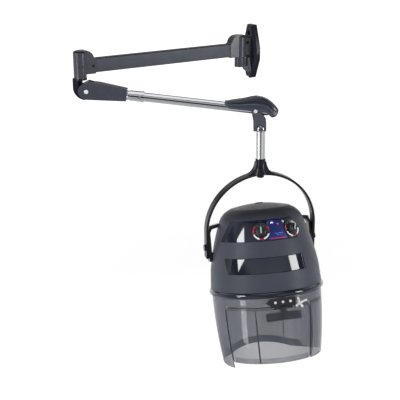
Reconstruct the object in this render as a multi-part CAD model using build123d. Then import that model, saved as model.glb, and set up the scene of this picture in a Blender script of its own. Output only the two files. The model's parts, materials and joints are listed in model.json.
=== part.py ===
from build123d import *
import os
from math import cos, radians, sin

# Wall-mounted hood hair dryer on a two-part swing arm, in millimetres.
# The wall is the plane Y = 0, the room is towards -Y and +Z is up.
# The origin is the centre of the wall plate's back face.

# Driving dimensions: the arms and how they stand at rest
ARM1_Z = 10.0  # height of the first arm's centreline
PIVOT_Y = -60.0  # wall swing axis
ARM1_LENGTH = 621.2  # wall swing axis to elbow swing axis
ARM1_HIGH = 46.0
ARM1_THICK = 26.0
ARM2_YAW = 55.71  # heading of the second arm, from +X towards +Y
ARM2_DROP = 6.01  # slope of the second arm at rest, nose down
ARM2_LENGTH = 549.0  # lift hinge pin to head hinge pin
LIFT_PIN_X = 20.0  # lift hinge pin ahead of the elbow swing axis
LIFT_PIN_DROP = 79.0  # lift hinge pin below the first arm's centreline
STEM_X = 17.0  # stem axis ahead of the head hinge pin
ROD_RISE = 10.0  # levelling rod above the line of the hinge pins
HEAD_LEAN = 1.0  # the stem's foot stands out this much at rest

# Driving dimensions: the yoke and the hood
YOKE_YAW = 73.0  # heading of the yoke's front, from -Y towards +X
HOOD_TILT = 16.0  # the hood's top leans back by this much at rest
HOOD_FORWARD = 25.0  # hood axis ahead of the yoke's pivots
YOKE_DROP = 459.0  # yoke pivots below the head hinge pin
CROWN_DROP = 212.0  # top of the yoke's strap below the head hinge pin
YOKE_RADIUS = 193.0
STRAP_THICK = 8.0
STRAP_WIDE = 28.0
LEG_BELOW = 36.0

# General sizes
WALL = 3.0
GAP = 0.3  # between faces of parts that move past each other
RUN = 0.05  # radial clearance of a running fit
SKIN = 0.1  # between parts that lie on each other within one body
LONG = 900.0  # longer than anything it has to cut


def face_xz(points):
    return make_face(Polyline(*[(x, 0, z) for x, z in points], close=True))


def slab(points, y0, y1):
    """A plate with its outline in the XZ plane, from y0 to y1."""
    return Pos(0, y1, 0) * extrude(face_xz(points), y1 - y0, dir=(0, -1, 0))


def block(x0, x1, y0, y1, z0, z1):
    return Pos((x0 + x1) / 2, (y0 + y1) / 2, (z0 + z1) / 2) * Box(x1 - x0, y1 - y0, z1 - z0)


def rod_z(radius, z0, z1, x=0.0, y=0.0):
    return Pos(x, y, (z0 + z1) / 2) * Cylinder(radius, z1 - z0)


def rod_y(radius, y0, y1, x=0.0, z=0.0):
    return Pos(x, (y0 + y1) / 2, z) * Rot(90, 0, 0) * Cylinder(radius, y1 - y0)


def rod_x(radius, x0, x1, y=0.0, z=0.0):
    return Pos((x0 + x1) / 2, y, z) * Rot(0, 90, 0) * Cylinder(radius, x1 - x0)


def tube_z(outer, inner, z0, z1):
    return rod_z(outer, z0, z1) - rod_z(inner, z0 - 1, z1 + 1)


# Frames: each sub-assembly is drawn about its own joint, then placed
WALL_FRAME = Pos(0, PIVOT_Y, ARM1_Z) * Rot(0, 0, -90)
ELBOW = Pos(0, PIVOT_Y - ARM1_LENGTH, ARM1_Z)
ELBOW_IN_ARM1 = ELBOW * Rot(0, 0, 90)
ELBOW_FRAME = ELBOW * Rot(0, 0, ARM2_YAW)
ARM2_FRAME = ELBOW_FRAME * Pos(LIFT_PIN_X, 0, -LIFT_PIN_DROP) * Rot(0, ARM2_DROP, 0)
ROD_FRAME = ELBOW_FRAME * Pos(LIFT_PIN_X, 0, ROD_RISE - LIFT_PIN_DROP) * Rot(0, ARM2_DROP, 0)
HEAD_PIN_X = LIFT_PIN_X + ARM2_LENGTH * cos(radians(ARM2_DROP))
HEAD_PIN_Z = -LIFT_PIN_DROP - ARM2_LENGTH * sin(radians(ARM2_DROP))
HEAD_FRAME = ELBOW_FRAME * Pos(HEAD_PIN_X, 0, HEAD_PIN_Z) * Rot(0, -HEAD_LEAN, 0)
ROD_PIN_X = ROD_RISE * sin(radians(HEAD_LEAN))
ROD_PIN_Z = ROD_RISE * cos(radians(HEAD_LEAN))
STEM_FRAME = HEAD_FRAME * Pos(STEM_X, 0, 0)
YOKE_FRAME = STEM_FRAME * Rot(0, 0, YOKE_YAW - ARM2_YAW) * Pos(0, 0, -YOKE_DROP)
HOOD_FRAME = YOKE_FRAME * Rot(-HOOD_TILT, 0, 0) * Pos(0, -HOOD_FORWARD, 0)


# Wall bracket -----------------------------------------------------------
PLATE_HIGH = 94.0
PLATE_MID = 43.0
PLATE_TIP = 18.0
PLATE_THICK = 22.0
BOLT_SPACING = 130.0
BOLT_HOLE_R = 4.0
BOSS_R = 18.0
BOSS_TOP = -27.0
BOSS_BOTTOM = -62.0
SWING_PIN_R = 9.0
BUSH_R = 13.0


def wall_plate():
    outline = [
        (-PLATE_TIP, PLATE_HIGH), (PLATE_TIP, PLATE_HIGH), (PLATE_MID, 14), (PLATE_MID, -26),
        (PLATE_TIP, -PLATE_HIGH), (-PLATE_TIP, -PLATE_HIGH), (-PLATE_MID, -26), (-PLATE_MID, 14),
    ]
    plate = slab(outline, -PLATE_THICK, 0)
    plate = chamfer(plate.faces().sort_by(Axis.Y)[0].edges(), 7)
    for z in (-BOLT_SPACING / 2, BOLT_SPACING / 2):
        plate -= rod_y(BOLT_HOLE_R, -PLATE_THICK - 1, 1, z=z)
        plate -= rod_y(BOLT_HOLE_R * 2, -PLATE_THICK - 1, -PLATE_THICK + 5, z=z)
    for z in BRACKET_SCREW_Z:
        plate -= rod_y(3.4, -PLATE_THICK - 1, -6, z=z)
    plate -= rod_z(5.0, -PLATE_HIGH - 1, -PLATE_HIGH + 10, y=-PLATE_THICK / 2)
    return plate


BRACKET_SCREW_Z = (-44.0, 30.0)


def pivot_bracket():
    """A foot on the plate, an upright behind the casting and the boss that carries the pin."""
    reach = -PIVOT_Y - PLATE_THICK
    foot = block(-reach, -reach + 6, -17, 17, BOSS_BOTTOM, 38)
    web = block(-reach, 0, -11, 11, BOSS_BOTTOM, BOSS_TOP)
    boss = rod_z(BOSS_R, BOSS_BOTTOM, BOSS_TOP)
    body = foot + web + boss
    body -= rod_z(SWING_PIN_R, BOSS_BOTTOM + 6, BOSS_TOP + 1)
    for z in BRACKET_SCREW_Z:
        body -= rod_x(3.2, -reach - 1, -reach + 7, z=z - ARM1_Z)
    return body


def bracket_screws():
    """Two cap screws that clamp the bracket's foot to the plate."""
    screws = []
    reach = -PIVOT_Y - PLATE_THICK
    for z in BRACKET_SCREW_Z:
        head_x = -reach + 6
        under_boss = z - ARM1_Z < BOSS_TOP
        if under_boss:
            screws.append(rod_x(2.9, -reach - 12, -reach + 5, z=z - ARM1_Z))
        else:
            shank = rod_x(2.9, -reach - 12, head_x + 1, z=z - ARM1_Z)
            screws.append(shank + rod_x(5.0, head_x, head_x + 4, z=z - ARM1_Z))
    return Compound(children=screws)


def wall_pivot_pin():
    return rod_z(SWING_PIN_R, BOSS_BOTTOM + 6, 38)


def wall_thrust_washer():
    return tube_z(16, SWING_PIN_R + RUN, BOSS_TOP, BOSS_TOP + 1)


def cable_grommet():
    body = rod_z(4.9, -PLATE_HIGH, -PLATE_HIGH + 9, y=-PLATE_THICK / 2)
    body += rod_z(7.0, -PLATE_HIGH - 3, -PLATE_HIGH, y=-PLATE_THICK / 2)
    return body - rod_z(3.0, -PLATE_HIGH - 4, -PLATE_HIGH + 10, y=-PLATE_THICK / 2)


# First arm --------------------------------------------------------------
BARREL_R = 21.0
CASTING_TOP = 51.0
TUBE_START = 32.0
CASTING_END = 49.0
TUBE_WALL = 2.5


def end_casting(bottom):
    """A barrel with a D-shaped shoulder and a socket for the flat tube, x along the tube."""
    half = ARM1_THICK / 2 + 3
    low = -ARM1_HIGH / 2 - 2.5
    high = ARM1_HIGH / 2 + 3
    top_edge = [Line((0, 0, CASTING_TOP), (14, 0, CASTING_TOP)),
                ThreePointArc((14, 0, CASTING_TOP), (35, 0, 43), (44, 0, high)),
                Polyline((44, 0, high), (CASTING_END, 0, high - 2), (CASTING_END, 0, low),
                         (0, 0, low), (0, 0, CASTING_TOP))]
    fin = Pos(0, half, 0) * extrude(make_face(Curve() + top_edge), half * 2, dir=(0, -1, 0))
    barrel = rod_z(BARREL_R, bottom, CASTING_TOP)
    barrel = fillet(barrel.edges().sort_by(Axis.Z)[-1], 9)
    fin = fin & block(-BARREL_R, CASTING_END, -half, half, low, CASTING_TOP)
    body = barrel + fin
    body -= block(TUBE_START, CASTING_END + 1, -ARM1_THICK / 2 - SKIN, ARM1_THICK / 2 + SKIN,
                  -ARM1_HIGH / 2 - SKIN, ARM1_HIGH / 2 + SKIN)
    body -= rod_z(BUSH_R, bottom - 1, 40)
    for x in CASTING_SCREW_X:
        body -= rod_y(2.6, -half - 1, 0, x=x)
    return body


CASTING_SCREW_X = (40.0,)
WALL_CASTING_BOTTOM = BOSS_TOP + 1 + GAP
ELBOW_CASTING_BOTTOM = -36.0


def first_arm_tube():
    """Flat rectangular tube between the two castings."""
    length = ARM1_LENGTH - 2 * TUBE_START
    outer = block(0, length, -ARM1_THICK / 2, ARM1_THICK / 2, -ARM1_HIGH / 2, ARM1_HIGH / 2)
    outer = fillet(outer.edges().filter_by(Axis.X), 3)
    inner = block(-1, length + 1, -ARM1_THICK / 2 + TUBE_WALL, ARM1_THICK / 2 - TUBE_WALL,
                  -ARM1_HIGH / 2 + TUBE_WALL, ARM1_HIGH / 2 - TUBE_WALL)
    body = outer - inner
    for x in CASTING_SCREW_X:
        body -= rod_y(2.6, -ARM1_THICK, 0, x=x - TUBE_START)
        body -= rod_y(2.6, 0, ARM1_THICK, x=length + TUBE_START - x)
    return Pos(TUBE_START, 0, 0) * body


def swing_bush(bottom):
    return tube_z(BUSH_R - SKIN / 2, SWING_PIN_R + RUN, bottom + 0.5, 39.5)


def arm_bushes():
    """The two bronze bushes that the first arm swings on."""
    bushes = [WALL_FRAME * swing_bush(WALL_CASTING_BOTTOM), ELBOW_IN_ARM1 * swing_bush(ELBOW_CASTING_BOTTOM)]
    return Compound(children=bushes)


def first_arm_screws():
    """One countersunk screw through each casting into the tube."""
    half = ARM1_THICK / 2 + 3
    x = CASTING_SCREW_X[0]
    screw = rod_y(2.5, -half, -half + 8, x=x) + rod_y(4.5, -half - 1.5, -half, x=x)
    far = rod_y(2.5, half - 8, half, x=ARM1_LENGTH - x) + rod_y(4.5, half, half + 1.5, x=ARM1_LENGTH - x)
    return Compound(children=[WALL_FRAME * screw, WALL_FRAME * far])


# Elbow ------------------------------------------------------------------
KNUCKLE_R = 22.0
KNUCKLE_TOP = ELBOW_CASTING_BOTTOM - GAP - 1.0
TONGUE_HALF = 7.0
SPIGOT_R = 5.5
SLOT_HALF = 3.4
HOUSING_HALF = 17.0
HOUSING_R = 27.0
HINGE_PIN_R = 5.0
ROD_PIN_R = 2.5
KNUCKLE_SWEEP = 41.0  # radius of the curved back
SWEEP_X = 18.0
SWEEP_RISE = 13.0


def elbow_knuckle():
    """A round head under the first arm, a curved back and a split tongue for the lift hinge."""
    pin_z = -LIFT_PIN_DROP
    head = rod_z(KNUCKLE_R, pin_z + 36, KNUCKLE_TOP)
    back = rod_y(KNUCKLE_SWEEP, -HOUSING_HALF, HOUSING_HALF, x=SWEEP_X, z=pin_z + SWEEP_RISE)
    back += block(SWEEP_X - KNUCKLE_SWEEP, 0, -HOUSING_HALF, HOUSING_HALF, pin_z + SWEEP_RISE, KNUCKLE_TOP)
    back = back & block(-LONG, LIFT_PIN_X - 6, -HOUSING_HALF, HOUSING_HALF, -LONG, KNUCKLE_TOP)
    back -= rod_y(HOUSING_R + 1, -HOUSING_HALF - 1, HOUSING_HALF + 1, x=LIFT_PIN_X, z=pin_z)
    back -= block(-5, LONG, -LONG, LONG, pin_z, pin_z + 36)
    tongue = rod_y(20, -TONGUE_HALF, TONGUE_HALF, x=LIFT_PIN_X, z=pin_z)
    tongue += block(-10, LIFT_PIN_X, -TONGUE_HALF, TONGUE_HALF, pin_z - 18, pin_z + 18)
    tongue += block(-10, 6, -TONGUE_HALF, TONGUE_HALF, pin_z, pin_z + 37)
    body = head + back + tongue
    slot = block(LIFT_PIN_X - 7, LIFT_PIN_X + 40, -SLOT_HALF, SLOT_HALF, pin_z - 12, pin_z + 30)
    body -= slot
    body -= rod_z(SWING_PIN_R, pin_z + 36, KNUCKLE_TOP + 1)
    body -= rod_z(SPIGOT_R, pin_z + 22, KNUCKLE_TOP + 1)
    body -= rod_y(HINGE_PIN_R, -LONG, LONG, x=LIFT_PIN_X, z=pin_z)
    body -= rod_y(ROD_PIN_R, -LONG, LONG, x=LIFT_PIN_X, z=pin_z + ROD_RISE)
    return body


def elbow_swivel_pin():
    return rod_z(SWING_PIN_R, -LIFT_PIN_DROP + 36, 38) + rod_z(SPIGOT_R, -LIFT_PIN_DROP + 22, -LIFT_PIN_DROP + 37)


def elbow_washer():
    return tube_z(17, SWING_PIN_R + RUN, KNUCKLE_TOP, KNUCKLE_TOP + 1)


def lift_hinge_pin():
    reach = HOUSING_HALF + GAP
    body = rod_y(HINGE_PIN_R, -reach, reach)
    for side in (-1, 1):
        body += rod_y(7, min(side * reach, side * (reach + 3)), max(side * reach, side * (reach + 3)))
    return body


def rod_anchor_pin():
    return rod_y(ROD_PIN_R, -TONGUE_HALF, TONGUE_HALF, z=ROD_RISE)


# Second arm -------------------------------------------------------------
MOUTH_X = 130.0
TUBE2_R = 15.2
TUBE2_WALL = 1.7
TUBE2_START = 78.0
TUBE2_END = 591.4
COLLAR_R = 17.6
COLLAR_START = 140.0
COLLAR_END = 186.0


def arm_housing():
    """Tapered clevis casting round the lift hinge, open inside for the tongue and the rod."""
    arc = ThreePointArc((0, 0, -HOUSING_R), (-HOUSING_R, 0, 0), (-14, 0, 23.1))
    rest = Polyline((-14, 0, 23.1), (3, 0, 34), (17, 0, 31), (40, 0, 31), (MOUTH_X, 0, 21),
                    (MOUTH_X, 0, -17.5), (0, 0, -HOUSING_R))
    face = make_face(Curve() + [arc, rest])
    body = Pos(0, HOUSING_HALF, 0) * extrude(face, HOUSING_HALF * 2, dir=(0, -1, 0))
    body -= rod_y(38, -TONGUE_HALF - 0.4, TONGUE_HALF + 0.4)
    body -= block(-LONG, 0, -TONGUE_HALF - 0.4, TONGUE_HALF + 0.4, -LONG, LONG)
    body -= block(20, TUBE2_START, -6, 6, -13, 15)
    body -= rod_x(TUBE2_R + SKIN / 2, TUBE2_START, MOUTH_X + 1)
    body -= rod_y(HINGE_PIN_R + RUN, -LONG, LONG)
    return body


def lock_nut():
    """Rounded chrome piece that closes the housing's mouth."""
    body = rod_x(15.9, MOUTH_X, COLLAR_START - SKIN)
    body = fillet(body.edges().sort_by(Axis.X)[0], 3)
    return body - rod_x(TUBE2_R + SKIN / 2, MOUTH_X - 1, COLLAR_START)


def tube_collar():
    body = rod_x(COLLAR_R, COLLAR_START, COLLAR_END - 8)
    body += rod_x(COLLAR_R + 1.2, COLLAR_END - 8, COLLAR_END)
    body -= rod_x(TUBE2_R + SKIN / 2, COLLAR_START - 1, COLLAR_END + 1)
    return body - rod_y(2.6, -LONG, 0, x=COLLAR_SCREW_X)


COLLAR_SCREW_X = 172.0


def collar_screw():
    shank = rod_y(2.5, -COLLAR_R - 1, -TUBE2_R - 0.2, x=COLLAR_SCREW_X)
    return shank + rod_y(4.5, -COLLAR_R - 3.5, -COLLAR_R - 0.6, x=COLLAR_SCREW_X)


def second_arm_tube():
    """Chromed round tube, notched under the end cover for the levelling rod's far pin."""
    body = rod_x(TUBE2_R, TUBE2_START, TUBE2_END) - rod_x(TUBE2_R - TUBE2_WALL, 0, TUBE2_END + 1)
    body -= block(ARM2_LENGTH - 14, ARM2_LENGTH + 14, -LONG, LONG, 3.6, LONG)
    return body - rod_y(HEAD_PIN_R + SKIN / 2, -LONG, LONG, x=ARM2_LENGTH)


def gas_strut():
    """Lifting strut that lies along the bottom of the tube."""
    body = rod_x(5.0, 120, 330, z=-7.5) + rod_x(2.0, 82, 121, z=-7.5)
    return body


def levelling_rod():
    """Parallel rod that keeps the head level; its far eye is slack on the head's pin."""
    body = rod_x(2.2, 1, ARM2_LENGTH - 1)
    body += rod_y(5.0, -3, 3) + rod_y(5.0, -3, 3, x=ARM2_LENGTH)
    body -= rod_y(ROD_PIN_R + RUN, -LONG, LONG)
    return body - rod_y(ROD_PIN_R + GAP, -LONG, LONG, x=ARM2_LENGTH)


HEAD_PIN_R = 4.0
COVER_HALF = 24.0
CHEEK_IN = 16.0
CHEEK_OUT = 19.5


def arm_end_cover():
    """Gooseneck handle that saddles the tube's end and hides the head hinge."""
    nose_x = 59.4
    nose_r = 16.0
    start = Polyline((-101, 0, 16), (-87, 0, -1), (nose_x - 24, 0, -1), (nose_x - 6, 0, -nose_r + 1.2))
    nose = ThreePointArc((nose_x - 6, 0, -nose_r + 1.2), (nose_x + nose_r - 1, 0, -5), (nose_x + 15, 0, 8))
    crest = Spline((nose_x + 15, 0, 8), (37, 0, 39), (-1, 0, 46), (-37, 0, 35), (-71, 0, 26), (-101, 0, 16))
    face = make_face(Curve() + [start, nose, crest])
    body = Pos(ARM2_LENGTH, COVER_HALF, 0) * extrude(face, COVER_HALF * 2, dir=(0, -1, 0))
    body -= rod_x(TUBE2_R + SKIN, 400, TUBE2_END + SKIN)
    body -= rod_y(17, -CHEEK_OUT - 0.6, CHEEK_OUT + 0.6, x=ARM2_LENGTH)
    body -= block(ARM2_LENGTH - 21, ARM2_LENGTH + 30, -CHEEK_OUT - 0.6, CHEEK_OUT + 0.6, -40, 6)
    return body - rod_y(HEAD_PIN_R + SKIN / 2, -LONG, LONG, x=ARM2_LENGTH)


def head_hinge_pin():
    reach = COVER_HALF + SKIN
    body = rod_y(HEAD_PIN_R, -reach, reach, x=ARM2_LENGTH)
    return body + rod_y(6, -reach - 2.5, -reach, x=ARM2_LENGTH) + rod_y(6, reach, reach + 2.5, x=ARM2_LENGTH)


# Head bracket and stem --------------------------------------------------
BLOCK_TOP = -44.0
BLOCK_BOTTOM = -68.0
STEM_R = 16.8
STEM_TOP = -55.0
STEM_BOTTOM = -163.0
STEM_BOLT_Z = -61.0
SWIVEL_R = 8.0


def head_bracket():
    """Two cheeks that straddle the tube and join in a block round the stem."""
    side = [(-14, 0), (-7, -36), (-7, BLOCK_TOP - 1), (35, BLOCK_TOP - 1), (35, -36), (14, 0)]
    body = block(-7, 35, -CHEEK_OUT, CHEEK_OUT, BLOCK_BOTTOM, BLOCK_TOP)
    for y0, y1 in ((-CHEEK_OUT, -CHEEK_IN), (CHEEK_IN, CHEEK_OUT)):
        body += slab(side, y0, y1) + rod_y(14, y0, y1)
    body -= rod_z(STEM_R + SKIN / 2, BLOCK_BOTTOM - 1, STEM_TOP, x=STEM_X)
    body -= rod_y(HEAD_PIN_R + RUN, -LONG, LONG)
    body -= rod_y(ROD_PIN_R, -LONG, LONG, x=ROD_PIN_X, z=ROD_PIN_Z)
    return body - rod_y(4.1, -LONG, LONG, x=STEM_X, z=STEM_BOLT_Z)


def levelling_pin():
    return rod_y(ROD_PIN_R, -CHEEK_OUT, CHEEK_OUT, x=ROD_PIN_X, z=ROD_PIN_Z)


def stem_bolt():
    shank = rod_y(4.0, -CHEEK_OUT, CHEEK_OUT + 4, x=STEM_X, z=STEM_BOLT_Z)
    dome = rod_y(11, -CHEEK_OUT - 5, -CHEEK_OUT, x=STEM_X, z=STEM_BOLT_Z)
    dome = fillet(dome.edges().sort_by(Axis.Y)[0], 4)
    return shank + dome + rod_y(8, CHEEK_OUT, CHEEK_OUT + 5, x=STEM_X, z=STEM_BOLT_Z)


def stem_tube():
    body = tube_z(STEM_R, STEM_R - 2, STEM_BOTTOM, STEM_TOP)
    return body - rod_y(4.1, -LONG, LONG, z=STEM_BOLT_Z)


def swivel_pin():
    """Plug in the stem's foot, with the pin and nut that the yoke turns on."""
    nut_top = -CROWN_DROP - STRAP_THICK - 4 * GAP
    body = rod_z(STEM_R - 2.1, STEM_BOTTOM, STEM_BOTTOM + 14) + rod_z(SWIVEL_R, nut_top, STEM_BOTTOM + 1)
    nut = extrude(Pos(0, 0, nut_top - 8) * RegularPolygon(12, 6), 8)
    return body + nut


# Yoke -------------------------------------------------------------------
ARC_RISE = YOKE_DROP - CROWN_DROP - YOKE_RADIUS
PIVOT_BOLT_R = 5.0
YOKE_IN = YOKE_RADIUS - STRAP_THICK


def yoke():
    """Flat strap bent to a half circle with two legs, and the neck that turns on the stem."""
    half = STRAP_WIDE / 2
    ring = rod_y(YOKE_RADIUS, -half, half, z=ARC_RISE) - rod_y(YOKE_IN, -LONG, LONG, z=ARC_RISE)
    body = ring - block(-LONG, LONG, -LONG, LONG, -LONG, ARC_RISE)
    for x0 in (-YOKE_RADIUS, YOKE_IN):
        body += block(x0, x0 + STRAP_THICK, -half, half, -LEG_BELOW, ARC_RISE)
    crown = ARC_RISE + YOKE_RADIUS
    neck_top = YOKE_DROP + STEM_BOTTOM - GAP
    body += rod_z(STEM_R, crown - 5, neck_top)
    flare = Pos(0, 0, crown + 8) * Cone(27, STEM_R, 24)
    body += flare - rod_y(YOKE_RADIUS - 4, -LONG, LONG, z=ARC_RISE)
    body -= rod_z(SWIVEL_R + RUN, 0, neck_top + 1)
    for x in (-YOKE_RADIUS, YOKE_RADIUS):
        body -= rod_x(PIVOT_BOLT_R, x - 10, x + 10)
    return body


def yoke_pivot_bolts():
    """Shouldered bolts that the hood tilts on, one in each leg."""
    bolts = []
    for side in (-1, 1):
        inner = side * (YOKE_IN - 8)
        outer = side * (YOKE_RADIUS + SKIN)
        cap = side * (YOKE_RADIUS + 5)
        shank = rod_x(PIVOT_BOLT_R, min(inner, outer), max(inner, outer))
        bolts.append(shank + rod_x(11, min(outer, cap), max(outer, cap)))
    return Compound(children=bolts)


# Hood shell and its trim ------------------------------------------------
SHELL_FOOT = -141.4
BEAD_R = 9.5
BEAD_Z = -151.0
BEAD_RING = 184.0


def dome_solid(inset):
    """The hood's outer form, shrunk by inset; a negative inset grows it."""
    foot = Line((0, 0, SHELL_FOOT), (187 - inset, 0, SHELL_FOOT))
    side = Line((187 - inset, 0, SHELL_FOOT), (182.5 - inset, 0, -80))
    flank = ThreePointArc((182.5 - inset, 0, -80), (164 - inset, 0, 6 - inset / 4), (141 - inset, 0, 78 - inset / 2))
    shoulder = ThreePointArc((141 - inset, 0, 78 - inset / 2), (127 - inset * 0.8, 0, 101 - inset * 0.8),
                             (98 - inset / 2, 0, 119 - inset))
    crown = ThreePointArc((98 - inset / 2, 0, 119 - inset), (50 - inset / 4, 0, 129 - inset), (0, 0, 132 - inset))
    axis = Line((0, 0, 132 - inset), (0, 0, SHELL_FOOT))
    return revolve(make_face(Curve() + [foot, side, flank, shoulder, crown, axis]), Axis.Z)


def sector(angle0, angle1, z0, z1, radius=260.0):
    """A pie slice; angles run from the front (-Y) towards +X."""
    profile = Polyline((0, 0, z0), (0, -radius, z0), (0, -radius, z1), (0, 0, z1), close=True)
    pie = revolve(make_face(profile), Axis.Z, angle1 - angle0)
    return Rot(0, 0, angle0) * pie


def on_dome(angle, z, lift):
    """A frame on the hood's flank at an angle and height: -Y points out of the surface."""
    lean = 17.0
    radius = 153.3 - (z - 40) * 0.36 + lift
    return Rot(0, 0, angle) * Pos(0, -radius, z) * Rot(-lean, 0, 0)


KNOB_Z = 51.0
TIMER_ANGLE = -18.0
HEAT_ANGLE = 23.0
DIAL_R = 28.0
KNOB_R = 15.0
SHAFT_R = 3.0
WINDOW_THICK = 1.6
LABEL_THICK = 0.5


def hood_shell():
    body = DOME - dome_solid(WALL)
    body -= rod_z(CAP_R + SKIN, 100, 140)
    for angle in (TIMER_ANGLE, HEAT_ANGLE):
        body -= on_dome(angle, KNOB_Z, 0) * rod_y(SHAFT_R + 0.6, -40, 40)
    return body


CAP_R = 14.0


def top_cap():
    """Dark plug that closes the lifting-eye hole in the crown."""
    body = rod_z(CAP_R, 124, 134.5)
    body = fillet(body.edges().sort_by(Axis.Z)[-1], 2)
    return body + rod_z(CAP_R - 4, 116, 125)


def window(angle0, angle1, z0, z1):
    """A glossy band that lies on the flank."""
    band = GLASS_OUT - GLASS_IN
    return band & sector(angle0, angle1, z0, z1)


def upper_window():
    body = window(-72, 29, 20, 87)
    for angle in (TIMER_ANGLE, HEAT_ANGLE):
        body -= on_dome(angle, KNOB_Z, 0) * rod_y(SHAFT_R + 0.6, -40, 40)
    return body


def lower_window():
    return window(-61, 29, -82, -31)


def dial(angle):
    """Printed dial plate under a knob, its back shaped to the flank."""
    place = on_dome(angle, KNOB_Z, 0)
    plate = place * rod_y(DIAL_R, -4.6, 8) - LABEL_BED
    return plate - place * rod_y(SHAFT_R + 0.6, -40, 40)


def dial_plates():
    return Compound(children=[dial(TIMER_ANGLE), dial(HEAT_ANGLE)])


def control_label():
    band = dome_solid(-WINDOW_THICK - 2 * SKIN - LABEL_THICK) - LABEL_BED
    body = band & sector(-9, 14, 23, 85)
    for angle in (TIMER_ANGLE, HEAT_ANGLE):
        body -= on_dome(angle, KNOB_Z, 0) * rod_y(DIAL_R + SKIN, -40, 40)
    return body


def neon_lamps():
    lamps = []
    for angle in (-3.0, 12.5):
        place = on_dome(angle, LAMP_Z, 0)
        lamps.append(place * rod_y(3.2, -6.5, 4) - dome_solid(-WINDOW_THICK - 3 * SKIN - LABEL_THICK))
    return Compound(children=lamps)


LAMP_Z = 76.0


def knob(angle):
    """Knob with a grip bar and its shaft, which turns in the switch behind the shell."""
    body = rod_y(KNOB_R, -16, -5)
    body = fillet(body.edges().sort_by(Axis.Y)[0], 1.5)
    body += block(-3, 3, -20.5, -15, -KNOB_R + 1, KNOB_R - 1)
    body += rod_y(SHAFT_R, -6, 22)
    return on_dome(angle, KNOB_Z, 0) * body


def switch_body(angle, width, height):
    body = block(-width / 2, width / 2, 10, 32, -height / 2, height / 2)
    body += rod_y(6, 7, 11)
    body -= rod_y(SHAFT_R + RUN, 0, 23)
    return on_dome(angle, KNOB_Z, 0) * body


def ring_bead():
    """Glossy bead between the shell and the visor, with an inner shelf for the visor's rim."""
    bead = revolve(Pos(BEAD_RING, 0, BEAD_Z) * Rot(90, 0, 0) * Circle(BEAD_R), Axis.Z)
    shelf = tube_z(BEAD_RING - 8, BEAD_RING - 24, BEAD_Z - 3, BEAD_Z + 3)
    return bead + shelf


def side_bracket(side):
    """Arm from the flank to the yoke pivot, clear of the flank between its two feet."""
    reach = YOKE_IN - GAP
    outline = [
        (reach, -48), (reach, 44), (reach - 9, 72), (138, 78), (138, 66), (reach - 16, 60),
        (reach - 10, 48), (reach - 10, -16), (158, -24), (158, -48),
    ]
    half = STRAP_WIDE / 2 - 1
    body = slab(outline, HOOD_FORWARD - half, HOOD_FORWARD + half)
    body -= GLASS_OUT
    body -= rod_x(PIVOT_BOLT_R + RUN, YOKE_IN - 30, YOKE_IN + 1, y=HOOD_FORWARD)
    if side < 0:
        body = mirror(body, Plane.YZ)
    return body


# Hood inner works -------------------------------------------------------
def inner_hood():
    """Diffuser bowl over the head, with rings of air holes."""
    outer = [(152, BEAD_Z + 4), (146, -60), (100, -12), (0, 0)]
    profile = Spline(*[(r, 0, z) for r, z in outer])
    thick = 2.0
    inner = Spline(*[(max(r - thick, 0), 0, z - thick * (r < 150)) for r, z in outer])
    close0 = Line((152, 0, BEAD_Z + 4), (150, 0, BEAD_Z + 4))
    close1 = Line((0, 0, 0), (0, 0, -thick))
    body = revolve(make_face(Curve() + [profile, close0, inner, close1]), Axis.Z)
    for radius, count in ((40, 6), (80, 10)):
        for i in range(count):
            body -= Rot(0, 0, 360 / count * i) * rod_z(5, -40, 20, x=radius)
    return body


def heater_frame():
    """Two mica rings on posts that hold the heater coil round the fan."""
    body = tube_z(112, 98, 8, 10) + tube_z(112, 98, 40, 42)
    for i in range(6):
        body += Rot(0, 0, 60 * i + 30) * block(103, 107, -4, 4, 9, 41)
    return body


def heater_coil():
    """Heating element wound in three rings inside the mica frame."""
    turns = [Pos(0, 0, z) * Torus(92, 2.5) for z in (16, 25, 34)]
    return Compound(children=turns)


def fan_motor():
    body = rod_z(32, 52, 92)
    body = fillet(body.edges().sort_by(Axis.Z)[-1], 5)
    body -= rod_z(FAN_SHAFT_R + RUN, 40, 80)
    return body


FAN_SHAFT_R = 3.0
FAN_BLADES = 10


def fan_impeller():
    """Radial fan: a back plate, blades and the shaft."""
    body = rod_z(66, 44, 46) + rod_z(10, 20, 46) + rod_z(FAN_SHAFT_R, 45, 76)
    for i in range(FAN_BLADES):
        body += Rot(0, 0, 360 / FAN_BLADES * i) * Rot(0, 0, 15) * block(9, 62, -1, 1, 22, 45)
    return body


def motor_mount():
    """Three-armed spider under the crown that carries the motor."""
    body = rod_z(34, 92.2, 95)
    for i in range(3):
        body += Rot(0, 0, 120 * i + 60) * block(20, 104, -7, 7, 92.2, 95)
    return body


def thermostat():
    return block(118, 128, -9, 9, 14, 34)


# Visor ------------------------------------------------------------------
VISOR_TOP = BEAD_Z - BEAD_R - SKIN
HEM = -376.0  # foot of the flap and of the visor beside it on the right
VISOR_BOTTOM = -396.0
SHORT_TO = 92.0
VISOR_WALL = 2.5
FLAP_TOP = -186.0
FLAP_FROM = -67.0
FLAP_TO = 31.0
FLAP_GAP = 1.3


def visor_cone(inset):
    """Solid inside the visor's outer face, slightly barrelled towards the foot."""
    face = make_face(Curve() + [
        Line((0, 0, VISOR_TOP), (184.5 - inset, 0, VISOR_TOP)),
        ThreePointArc((184.5 - inset, 0, VISOR_TOP), (178.5 - inset, 0, -290), (165 - inset, 0, VISOR_BOTTOM)),
        Line((165 - inset, 0, VISOR_BOTTOM), (0, 0, VISOR_BOTTOM)),
        Line((0, 0, VISOR_BOTTOM), (0, 0, VISOR_TOP)),
    ])
    return revolve(face, Axis.Z)


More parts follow.
